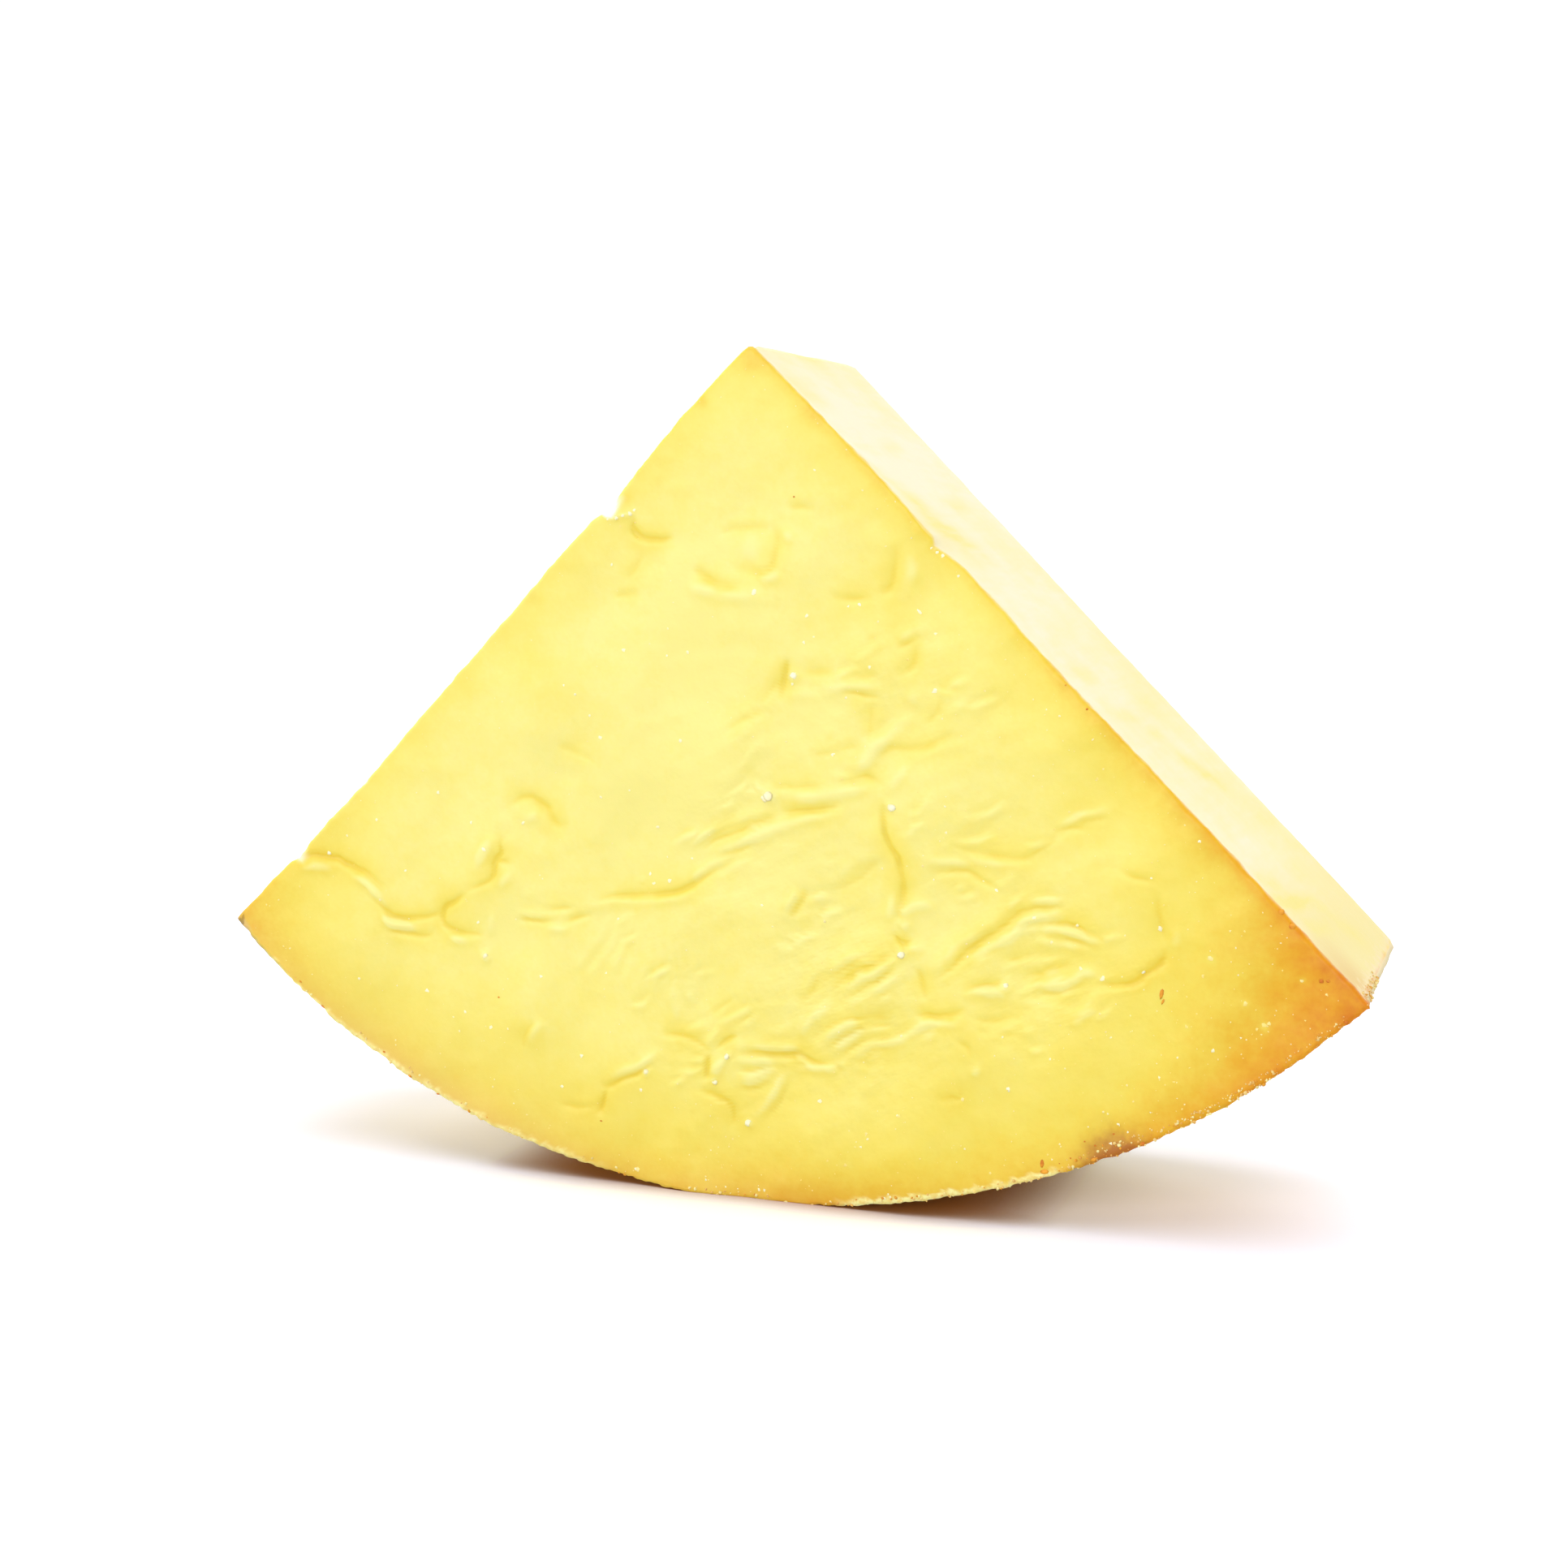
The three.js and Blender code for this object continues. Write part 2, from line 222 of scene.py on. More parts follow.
# How far each edge of the rind face stands inside a plain wedge: (distance from the tip, mm) for the
# long edges, and for the rim (share of the way from the middle to a cut, mm)
edgeWander = {
    "rim": [
        (-1, 1.9), (-0.97, 1.25), (-0.93, 0.85), (-0.89, 0.5), (-0.85, 0.25), (-0.77, 0.05), (-0.7, -0.2),
        (-0.55, -0.15), (-0.4, 0), (0.5, 0), (0.6, -0.15), (0.92, -0.25), (1, -0.1)],
    "left": [
        (0, 0.1), (4, -0.1), (10, -0.25), (16, -0.2), (22, 0), (27, 0.25), (29, 0.7), (31.2, 1.2),
        (32.3, 0.4), (34, 0.05), (40, -0.1), (60, 0), (66, 0.2), (80, 0.3), (92, 0.5), (97, 0.2),
        (101, 0.3), (104.5, 0.6), (106, 0.1), (108, -0.05), (113, -0.3), (120, -0.5)],
    "right": [
        (0, 0.1), (8, -0.1), (16, -0.35), (25, -0.55), (33, -0.3), (37, -0.1), (38, 0.6), (39.5, 0.3),
        (41.5, -0.15), (43, -0.35), (48, -0.3), (51, -0.4), (56, -0.15), (63, -0.15), (70, -0.35),
        (82, -0.4), (95, -0.5), (103, -0.4), (120, -0.4)],
}

# Narrow grooves of the rind: (depth, width, line)
grooves = [
    (0.55, 0.42, [(-24.4, 78.4), (-20.6, 77.6), (-16.9, 77), (-13.1, 76.6), (-10, 75.8), (-8.1, 74.7),
        (-5.9, 73.3), (-3.8, 72.5), (-2.2, 71.4), (-0.6, 70.9)]),
    (0.25, 0.4, [(-5, 70.7), (-2.5, 70.1), (-0.4, 69.4), (1.5, 68.6)]),
    (0.4, 0.4, [(-7, 70.2), (-5, 68.4), (-2.5, 67.5), (0, 66.3), (2.5, 65.3), (5, 64.4)]),
    (0.55, 0.42, [(4.4, 64.4), (7.5, 63.7), (10, 63.5), (12.5, 63), (14, 62.3)]),
    (0.2, 0.4, [(-8.6, 70.2), (-6.3, 68.4), (-4.4, 67.3), (-1.3, 66.1), (1.3, 65.1)]),
    (0.35, 0.4, [(12.9, 59.8), (15, 59.3), (16.6, 58.6), (18.4, 59.1), (19.4, 60)]),
    (0.25, 0.4, [(2.5, 60.6), (7, 60.5), (12, 60)]),
    (0.7, 0.42, [(19.6, 61.3), (19.7, 64.4), (20.2, 66.9), (20.8, 68.1), (21.8, 69.7), (22.4, 71.9),
        (22.6, 73.8), (22.2, 76.3), (21.2, 78.4)]),
    (0.55, 0.4, [(21.1, 79.9), (22, 80.9), (22.9, 81.3), (24, 80.3)]),
    (0.55, 0.42, [(11.6, 89.1), (13.8, 87.2), (16.3, 85.6), (18.8, 84.1), (20.9, 82.8), (22, 81.8)]),
    (0.3, 0.4, [(10, 88.6), (12.5, 86.5), (15, 85), (17.5, 83.4), (20, 82.2)]),
    (0.35, 0.4, [(13.8, 90), (16.3, 88.4), (18.8, 86.9), (21.3, 85), (22.5, 84.1)]),
    (0.35, 0.42, [(6.7, 90.6), (8.8, 89.7), (10, 87.5), (11.3, 86.4)]),
    (0.5, 0.5, [(24.4, 84.7), (25.3, 85.6), (25.6, 87.5), (25.9, 89.3)]),
    (0.4, 0.4, [(8.8, 96.9), (10.6, 94.7), (12.5, 93.3), (15, 92.5), (18.1, 91.9), (22, 91.6)]),
    (0.4, 0.38, [(11.3, 97.5), (13.1, 95.9), (14.7, 94.7), (16.9, 93.4), (19.4, 92.8), (21.9, 92.5)]),
    (0.35, 0.4, [(13.1, 98.1), (15, 96.6), (17.2, 95.3), (19.4, 94.9), (21.9, 94.1), (24.1, 92.5),
        (25.3, 91.3)]),
    (0.7, 0.42, [(24.6, 91.6), (25.6, 90.9), (27, 90.9), (28.4, 90.9), (30, 90.6), (31.8, 89.6)]),
    (0.25, 0.4, [(15, 98.8), (17.5, 97.8), (20, 96.3), (23.1, 95)]),
    (0.75, 0.42, [(-1.5, 98.7), (0.6, 98.5), (3, 98.5), (5, 98.3), (7.5, 98.1), (8.8, 98.8), (10.6, 99),
        (13.3, 98.7)]),
    (0.3, 0.4, [(13.1, 98.8), (13.8, 100.2)]),
    (0.5, 0.5, [(-13.6, 96.8), (-10.6, 96.8), (-8.8, 97.2), (-6.9, 98.1), (-5.3, 98.9)]),
    (0.4, 0.4, [(-5.3, 98.6), (-3.4, 96.9), (-1.6, 96.3)]),
    (0.25, 0.4, [(-5, 94.6), (-3.1, 93), (-1.3, 92.2), (0.6, 91)]),
    (0.45, 0.42, [(-6.3, 99.1), (-6.4, 101.3), (-6.6, 103.3)]),
    (0.45, 0.42, [(-8.1, 104.4), (-5.6, 105), (-3.1, 105.9), (-2.5, 108.1), (-2.8, 110)]),
    (0.25, 0.4, [(-2, 101), (0.6, 101.2), (2, 100.6), (3.4, 100)]),
    (0.25, 0.4, [(-1.6, 103.6), (1, 103.4), (3, 102.2)]),
    (0.2, 0.4, [(7, 101.6), (5.6, 103), (4.6, 105), (3.2, 107), (1.8, 108.6)]),
    (0.55, 0.42, [(-23.4, 105.4), (-21.3, 104.9), (-19.1, 103.8), (-16.9, 103), (-15.6, 102),
        (-15, 101.1)]),
    (0.45, 0.4, [(-22.3, 105.5), (-22.6, 108.1), (-23.2, 110)]),
    (0.2, 0.4, [(-30, 108.8), (-26.3, 108.9), (-23.1, 108.3)]),
    (0.3, 0.4, [(-30, 82.2), (-26.5, 81), (-23.8, 80.3)]),
    (0.3, 0.4, [(25.4, 71.4), (28.8, 71.1), (31.6, 70.9), (33.4, 71.9), (35, 72.8), (36.5, 74)]),
    (0.35, 0.45, [(28.5, 67.3), (32.5, 68.3), (36.3, 68.6), (39.4, 68.8), (41.3, 67.5), (43.8, 65.6),
        (45.6, 64.7)]),
    (0.25, 0.4, [(42.8, 65.8), (45, 64.4), (48.5, 64.3)]),
    (0.25, 0.4, [(44.6, 63.4), (47.5, 61.8), (50, 61.3)]),
    (0.2, 0.4, [(45.6, 64), (48.8, 63.1), (50.8, 62.5)]),
    (0.7, 0.42, [(26.7, 86), (29.4, 84.4), (31.6, 81.9), (33.8, 80), (36.3, 78.4), (37.8, 76.9),
        (39.4, 75.6), (41.9, 75.3), (45, 75)]),
    (0.25, 0.4, [(38.2, 74.7), (41.9, 73.6), (44.6, 73.4)]),
    (0.5, 0.38, [(41.3, 77.7), (43.8, 77.2), (46.3, 77.4), (48.8, 78.4), (50.6, 79.3)]),
    (0.25, 0.38, [(41.7, 79.2), (44.4, 79.3), (46.9, 79.5), (49.4, 80)]),
    (0.3, 0.45, [(36.5, 83), (39, 82.2), (41.5, 81.7), (44.4, 81.6)]),
    (0.3, 0.4, [(38.8, 84.9), (41.9, 84.1), (44.4, 83.1), (46.3, 82.4)]),
    (0.35, 0.4, [(41.3, 86.9), (44.4, 86.4), (46.9, 85.4), (49, 85)]),
    (0.6, 0.42, [(49.5, 85), (52.5, 84.9), (54.7, 84.4), (55.6, 83.4), (57.2, 82.2), (58.4, 80.6),
        (58.6, 78.8)]),
    (0.4, 0.42, [(58.6, 79.2), (58.1, 76.6), (57.5, 74.4), (57.4, 72.3)]),
    (0.2, 0.45, [(51.9, 69.5), (54.4, 70.4), (56.6, 70.7), (58, 69.8)]),
    (0.4, 0.4, [(30.6, 87.5), (32.5, 86.8), (35.3, 86.1), (37, 85.4)]),
    (0.25, 0.4, [(31.9, 91), (35, 91.2), (38.1, 90.6), (41.5, 91)]),
    (0.25, 0.4, [(33, 92.9), (36.3, 92.6), (40.6, 92.8)]),
    (0.25, 0.4, [(30.3, 94.1), (31.9, 95), (32.5, 97)]),
    (0.3, 0.4, [(30.6, 99.4), (30.9, 101.9), (29.4, 102.4), (27.3, 103.2)]),
    (0.4, 0.6, [(8.7, 74.4), (7.5, 76.8), (5.9, 79.2)]),
    (0.25, 0.42, [(10.3, 75), (13.1, 74.2), (15.9, 72.9), (18.1, 70.9), (20, 70.2)]),
    (0.25, 0.4, [(-2, 90.6), (-4, 92.1), (-5.8, 93.8)]),
    (0.65, 0.4, [(-17.4, 23.3), (-17.6, 24.8), (-16.7, 26), (-15.1, 26.6), (-13.1, 26.6), (-11.2, 26.4)]),
    (0.5, 0.5, [(-8.6, 30.4), (-6.9, 31.5), (-4.9, 32.7), (-3, 33.1), (-0.9, 33.1)]),
    (0.35, 0.55, [(-3.2, 30), (-1.1, 30.8), (1.3, 31.3), (3, 30.6), (3.7, 28.6), (4, 26.5), (3.7, 25),
        (2.6, 24.6)]),
    (0.25, 0.5, [(-4.6, 26), (-3.5, 25.5), (-1.1, 25), (1.3, 24.9), (3.7, 24.8)]),
    (0.2, 0.5, [(5.4, 22.4), (7.6, 22.2), (9.8, 22.4)]),
    (0.35, 0.6, [(21.3, 26.6), (21.1, 28.9), (20.8, 31.3), (20.1, 33.2), (18.2, 34.3)]),
    (0.3, 0.5, [(11.4, 34.1), (13.4, 34.4), (15.8, 34.3), (18.4, 34.4)]),
    (0.25, 0.45, [(21.1, 41), (23, 40.2), (24.9, 39.2)]),
    (0.3, 0.6, [(24, 40.4), (23.7, 42.8), (23, 44), (21.1, 44.8)]),
    (0.6, 0.5, [(5.9, 42.4), (5.4, 44.8), (4.9, 47.2), (4.4, 49.2)]),
    (0.25, 0.45, [(4.6, 45.2), (3, 47.4), (0.8, 49.6)]),
    (0.3, 0.7, [(7.6, 45.2), (10.5, 44.7), (12.9, 44.5)]),
    (0.2, 0.5, [(14.8, 45), (18.9, 45)]),
    (0.35, 0.42, [(12.9, 47.6), (14.8, 47.2), (17.2, 47.7), (19.4, 47.7)]),
    (0.3, 0.45, [(18.2, 47.9), (17.7, 50.1), (17.7, 52.5), (17, 53.9)]),
    (0.2, 0.5, [(8.6, 55.9), (11.4, 55.6), (15.3, 54.7), (16.7, 54.2)]),
    (0.35, 0.6, [(18.5, 56.4), (20.6, 54.7), (23, 54.9), (25.4, 54.4), (27.8, 53.2), (30.2, 52.4)]),
    (0.25, 0.5, [(26.9, 46), (30.2, 46.5)]),
    (0.25, 0.5, [(27.3, 46.7), (27.6, 48.6), (26.4, 50.1), (25.4, 52)]),
    (0.2, 0.5, [(-20.6, 35.1), (-18.9, 34.4), (-16.4, 34.1)]),
    (0.2, 0.5, [(-18.7, 32.7), (-17, 30.3), (-16.2, 28.3)]),
    (0.2, 0.5, [(-4.2, 53.7), (-2, 52), (-0.1, 51), (2.8, 49.6)]),
    (0.2, 0.5, [(-30, 55.6), (-27.1, 56.8), (-24.7, 57.5), (-22.6, 59.2)]),
    (0.7, 0.42, [(-74.5, 74.9), (-72, 74.2), (-70.2, 74), (-68.4, 74.2), (-66.3, 74.3), (-64.2, 75.2),
        (-61.6, 76.2), (-59.5, 77.5), (-58.5, 78.5), (-57.8, 79.4)]),
    (0.6, 0.42, [(-60.5, 79.5), (-59, 80.9), (-57.4, 82.2), (-55.3, 82.9), (-53.2, 82.7), (-50.6, 82.2),
        (-48, 81.4)]),
    (0.55, 0.42, [(-58, 84.7), (-55.3, 85), (-52.7, 85.2), (-50.6, 85), (-49.9, 83.6)]),
    (0.55, 0.42, [(-38.1, 69.2), (-38.9, 70.9), (-38.7, 72.3), (-39.7, 73.6), (-39.9, 75.6), (-41.2, 76.7),
        (-43.3, 77.5), (-44.6, 78)]),
    (0.7, 0.45, [(-43.8, 77.8), (-46.2, 79.6), (-48, 80.6), (-48.5, 81.9), (-48.3, 83.2), (-46.5, 84),
        (-43.9, 84.4), (-41.3, 84.4)]),
    (0.35, 0.4, [(-40.2, 72.9), (-37, 73.7)]),
    (0.5, 0.7, [(-38.2, 65), (-36.6, 64.7), (-35.5, 63.9), (-33.9, 63.7), (-32.6, 64.4), (-31.3, 65.5),
        (-30, 67.3), (-27.6, 68.1)]),
    (0.35, 0.4, [(-35.9, 81.5), (-33.4, 81.6), (-30.8, 81.6), (-29.1, 81.5)]),
    (0.25, 0.4, [(-32.4, 80.1), (-29.8, 79.8), (-26.6, 79.6)]),
    (0.3, 0.45, [(-33.4, 96.4), (-34.7, 98.6), (-35.4, 100.9)]),
]

# Rolled ridges between them: (height, width, line)
ridges = [
    (0.4, 0.7, [(-9, 75), (-7.5, 73.5), (-5.3, 72.2), (-2.9, 71.5)]),
    (0.2, 0.7, [(-28.1, 79.7), (-24.4, 79.2), (-20.6, 78.5), (-16.3, 78.1), (-13.1, 77.7), (-9.6, 76.9),
        (-6.5, 75.2)]),
    (0.25, 0.7, [(-5.2, 74), (-2.5, 72.6), (0.4, 71.1)]),
    (0.5, 0.75, [(-6.1, 70.3), (-3.8, 69.9), (-1.6, 68.9), (0.6, 68), (2.5, 67), (5, 66), (7.5, 65.2),
        (10, 64.7), (12.5, 64.1), (14.6, 63.1)]),
    (0.3, 0.6, [(-9, 69.7), (-6.3, 67.8), (-4.2, 66.4)]),
    (0.25, 0.6, [(-3.8, 67.1), (-1.3, 65.5), (1.3, 64.6), (3.3, 63.7)]),
    (0.5, 0.85, [(3.5, 61.5), (7.5, 61.8), (10, 61.8), (12.5, 61.3), (15, 60.5), (17.5, 60.6), (19, 61.5)]),
    (0.4, 0.75, [(19.6, 61), (20.9, 59.5), (22.2, 58.1), (23.4, 56.6)]),
    (0.35, 0.6, [(20, 78.6), (20.8, 76.3), (21.2, 73.8)]),
    (0.4, 0.7, [(22, 78), (23.4, 76.6), (25.6, 75.9), (27, 76.7)]),
    (0.3, 0.6, [(22.2, 79.6), (23.5, 78.3)]),
    (0.3, 0.6, [(23, 82.3), (25.8, 81.5)]),
    (0.35, 0.65, [(13.1, 89.1), (15.6, 87.5), (18.1, 86.1), (20.6, 84.4), (22, 83.3)]),
    (0.3, 0.65, [(10, 87.5), (13.1, 85.3), (15.6, 83.9), (19.4, 82.0)]),
    (0.3, 0.65, [(7.5, 90), (9.1, 87.5), (10.6, 85.9), (12, 85.5)]),
    (0.3, 0.65, [(13.8, 90.9), (16.6, 89.4), (19.4, 87.8), (21.9, 86.3), (23.9, 84.7)]),
    (0.3, 0.65, [(7.8, 96), (9.1, 93.1), (11.3, 91.3), (13.8, 90.1)]),
    (0.4, 0.65, [(9.8, 97.7), (11.6, 95.6), (13.1, 94.2), (14.8, 93.2), (17.5, 92.6)]),
    (0.4, 0.65, [(12.3, 97.3), (14.4, 95.6), (16.3, 94.4), (18.8, 93.7), (21, 93.3)]),
    (0.45, 0.7, [(13.8, 98.8), (16.3, 97.4), (18.1, 96), (21.3, 95.2), (23.8, 94), (25.6, 92.5),
        (27.5, 91.9), (30, 91.9), (31.8, 91.2)]),
    (0.35, 0.6, [(-2.7, 98.1), (0, 97.5), (3.8, 97.6), (7.5, 97.1), (8.6, 97.4)]),
    (0.35, 0.65, [(-2.7, 99.5), (0, 99.8), (3.8, 99.5), (6.9, 99.3)]),
    (0.45, 0.6, [(7.3, 99.4), (10, 99.9), (13.9, 99.5)]),
    (0.35, 0.65, [(-5, 95.3), (-2.5, 93.6), (-0.6, 92.7), (1.3, 91.6)]),
    (0.5, 0.7, [(-3.2, 99.5), (-4.5, 100.6), (-5.2, 102.6)]),
    (0.38, 0.6, [(6.9, 100.3), (5, 101.8), (3.8, 103.8), (2.5, 105.6), (1.3, 107.3), (-0.2, 108.7)]),
    (0.35, 0.6, [(-1.9, 101.9), (0.4, 101.9), (2.5, 101), (5, 100.1)]),
    (0.3, 0.6, [(-1.9, 102.9), (0.6, 102.6), (2.5, 101.7), (4, 101)]),
    (0.35, 0.65, [(-22.8, 104.3), (-20, 103.2), (-16.9, 101.9), (-15.3, 100.6), (-13.2, 99)]),
    (0.3, 0.6, [(25, 70), (28.8, 69.8), (32.7, 70)]),
    (0.25, 0.65, [(29.5, 68.4), (32.5, 69.4), (37, 69.7), (40, 69.6)]),
    (0.3, 0.7, [(43.6, 64.5), (46.3, 62.7), (48.8, 62.1), (52.1, 61.3)]),
    (0.35, 0.7, [(26.1, 85.7), (28.8, 83), (31.3, 80.5), (33.8, 78.9), (36.2, 78)]),
    (0.5, 0.7, [(31.7, 83.3), (33.8, 81.6), (36.3, 80.1), (38.1, 79.3), (39.1, 77.8), (40.9, 76.7),
        (43.8, 76.5), (45.8, 75.6)]),
    (0.35, 0.65, [(38.8, 75), (41.9, 74.3), (44.9, 74.2)]),
    (0.65, 0.55, [(41.2, 78.6), (43.8, 78.1), (46.3, 78.3), (48.3, 78.9), (50.2, 79.8)]),
    (0.3, 0.6, [(40.6, 80.1), (44.4, 80), (47.6, 80.2)]),
    (0.25, 0.7, [(37.5, 84), (40.5, 83), (44.2, 82.3)]),
    (0.55, 0.7, [(41.1, 86), (44.4, 85.7), (46.3, 84.8), (47.8, 83.7), (50.2, 84.1)]),
    (0.4, 0.7, [(30.9, 88.2), (32.5, 87.6), (35.3, 87), (37.2, 86.8)]),
    (0.2, 0.7, [(37.5, 88.9), (40.6, 88.2), (44.6, 88.8)]),
    (0.25, 0.7, [(46, 91.4), (48.1, 89.3), (50.2, 88.4)]),
    (0.25, 0.6, [(32.4, 99), (33.9, 97.4)]),
    (0.3, 0.7, [(60, 76.5), (59.7, 79.6)]),
    (0.25, 0.7, [(4.9, 79.2), (6.4, 76.7), (7.3, 74.7)]),
    (0.25, 0.7, [(10.3, 74), (13.1, 72.8), (15, 70.9), (19.5, 69.3)]),
    (0.3, 0.45, [(-22, 23.3), (-19.9, 23.1), (-17, 23.1)]),
    (0.45, 0.9, [(-9.5, 32.6), (-6.9, 33.5), (-4, 34.3), (-1.1, 34.3), (1.1, 33.8), (1.7, 32.6)]),
    (0.35, 0.8, [(1.5, 32.6), (2.8, 31.9), (4.8, 31.3)]),
    (0.25, 0.8, [(4.6, 26), (6.8, 26)]),
    (0.3, 1.1, [(22.3, 27.2), (23, 29.8), (22.6, 32.2), (22, 35.4)]),
    (0.3, 0.8, [(21, 40), (23, 39.1), (25.4, 38), (26.6, 37.2)]),
    (0.25, 0.7, [(5.8, 48.6), (7.6, 47.7), (11, 47.9)]),
    (0.3, 0.8, [(9.8, 47.7), (12.4, 46.7), (15.8, 46.3), (19, 46.3)]),
    (0.4, 0.9, [(13.2, 58.4), (16.3, 57.3), (18.2, 54.6), (20.6, 53), (22.5, 51.2), (23.7, 49.8)]),
    (0.3, 0.8, [(20.5, 59.6), (23.2, 56.5)]),
    (0.2, 0.8, [(-4.2, 56), (-1.6, 54.4), (1, 52.6)]),
    (0.5, 0.6, [(-64.9, 76.9), (-61.6, 77.5), (-60, 78.5), (-58.5, 80.3), (-57.2, 81.5)]),
    (0.6, 0.65, [(-59.2, 82.2), (-56.9, 83.7), (-54.3, 84.2), (-51.6, 84.4)]),
    (0.3, 0.7, [(-73, 76), (-69.5, 75.8), (-66.5, 76.2)]),
    (0.5, 0.75, [(-39.7, 69.7), (-41.2, 71.7), (-42.2, 74), (-43.2, 75.4)]),
    (0.35, 0.7, [(-39.5, 77.4), (-37.3, 75.3), (-36, 74.8)]),
    (0.35, 0.65, [(-48.2, 84.6), (-45.4, 85.5), (-42.6, 85.5)]),
    (0.35, 0.55, [(-40.5, 80.7), (-40.4, 84.6)]),
    (0.6, 0.55, [(-41.7, 86.6), (-41.4, 87.6), (-40.9, 88.5)]),
    (0.3, 0.7, [(-35.4, 67.4), (-33.9, 66.6), (-32.2, 66.2)]),
    (0.3, 0.6, [(-32, 82.6), (-29.8, 82.7), (-27.5, 82.3)]),
    (0.25, 0.5, [(-36, 80.7), (-33, 80.8), (-30, 80.8)]),
    (0.25, 0.7, [(-32, 96.4), (-33.4, 98.4), (-34.4, 100.4)]),
    (0.35, 0.7, [(-11.3, 88.6), (-11.3, 91.9), (-10.9, 95.3)]),
    (0.25, 0.6, [(-9.2, 90), (-8.8, 92.8)]),
]

# A sheaf of fine wrinkles between a first and a last line
sheaf = {
    "count": 9,
    "gather": 0.9,
    "height": 0.14,
    "width": 0.6,
    "first": [(-21, 80.5), (-24, 85), (-28, 89.5)],
    "last": [(-10.5, 80.5), (-8.6, 87), (-7.8, 94)],
}

# Knobs: (x, d, radius, height)
knobs = [
    (0.7, 28, 3.4, 0.3), (3.0, 61.9, 0.9, 0.7), (1.4, 60.8, 0.6, 0.4), (22.4, 82.9, 0.65, 0.6),
    (6.6, 45.3, 0.8, 0.6), (-3.3, 99.3, 0.5, 0.5), (-5.3, 103, 0.5, 0.4), (-15.7, 102.6, 0.6, 0.5),
    (37, 86.3, 0.7, 0.55), (36.6, 87.3, 0.6, 0.4), (40.8, 76.7, 0.6, 0.35), (0.9, 33.7, 0.9, 0.4),
    (2.5, 32, 0.9, 0.3), (-0.2, 108.7, 0.6, 0.5), (6.0, 25.9, 0.8, 0.3), (-41.3, 71.7, 0.7, 0.35),
    (20.7, 62.7, 0.6, 0.5), (47.3, 83.4, 0.6, 0.3), (50.1, 84.2, 0.6, 0.35), (-16.3, 74.9, 0.5, 0.4),
    (23.8, 47.5, 1.2, 0.3),
]

# Places where the rind is darker or lighter: (x, d, radius, tone)
tonePatches = [
    (-6.8, 7.9, 1.0, 0.4), (8.9, 10.1, 1.8, 0.25), (-18.7, 20.9, 1.3, 0.3), (72.8, 74.2, 0.7, 0.5),
    (75.5, 77, 0.6, 0.4), (47, 96, 5, 0.1), (30, 104, 7, 0.08), (56, 76, 5, -0.12), (-62, 85, 7, -0.05),
    (0, 3.0, 1.6, 0.3), (20, 35, 8, 0.2), (-32, 45, 7, 0.15), (38, 49, 8, 0.1), (-72, 80, 7, 0.1),
    (71.5, 89, 0.6, -0.8), (69, 86, 0.5, -0.6), (64.5, 80.5, 0.5, -0.4), (76.1, 82.6, 0.45, -1),
    (61.5, 89.8, 0.5, -0.3), (15, 113.1, 0.5, -0.3),
]

# Places where the rind is finely wrinkled: (x, d, radius, strength)
wrinkledParts = [
    (15, 90, 14, 1.0), (42, 84, 12, 0.9), (0, 68, 13, 0.5), (22, 50, 14, 0.4), (-4, 100, 8, 0.6),
    (32, 70, 10, 0.5), (-14, 85, 9, 0.4),
]


def bell(t):
    return np.exp(-t * t)


# The strongest of several bells about listed places
def bellsOver(x, d, spots):
    bells = [size * bell(np.hypot(x - px, d - pd) / radius) for px, pd, radius, size in spots]
    return np.max(bells, axis=0)


def smoothStep(low, high, t):
    share = np.clip((t - low) / (high - low), 0, 1)
    return share * share * (3 - 2 * share)


# Value noise: random numbers on a repeating cube of lattice points, blended smoothly between them
noiseSize, noiseSeed = 64, 11
noiseTable = np.random.default_rng(noiseSeed).uniform(-1, 1, (noiseSize,) * 3)


def noise(points, scale, shift=0.0):
    cell = points / scale + shift
    base = np.floor(cell).astype(int)
    part = cell - base
    part = part * part * (3 - 2 * part)
    total = 0
    for corner in np.ndindex(2, 2, 2):
        index = (base + corner) % noiseSize
        weight = np.prod(np.where(corner, part, 1 - part), axis=-1)
        total = total + weight * noiseTable[index[..., 0], index[..., 1], index[..., 2]]
    return total


# Catmull-Rom line through a few points, sampled about every stepLength mm
def smoothLine(points, stepLength=0.6):
    p = np.array(points, float)
    p = np.vstack([2 * p[0] - p[1], p, 2 * p[-1] - p[-2]])
    out = []
    for k in range(1, len(p) - 2):
        steps = max(2, int(np.linalg.norm(p[k + 1] - p[k]) / stepLength))
        t = (np.arange(steps) / steps)[:, None]
        a, b, c, d = p[k - 1:k + 3]
        square, cube = 2 * a - 5 * b + 4 * c - d, 3 * b - a - 3 * c + d
        out.append(0.5 * (2 * b + (c - a) * t + square * t**2 + cube * t**3))
    return np.vstack(out + [p[-2:-1]])


foldShape = {"reach": 2.6, "endPower": 2.5}


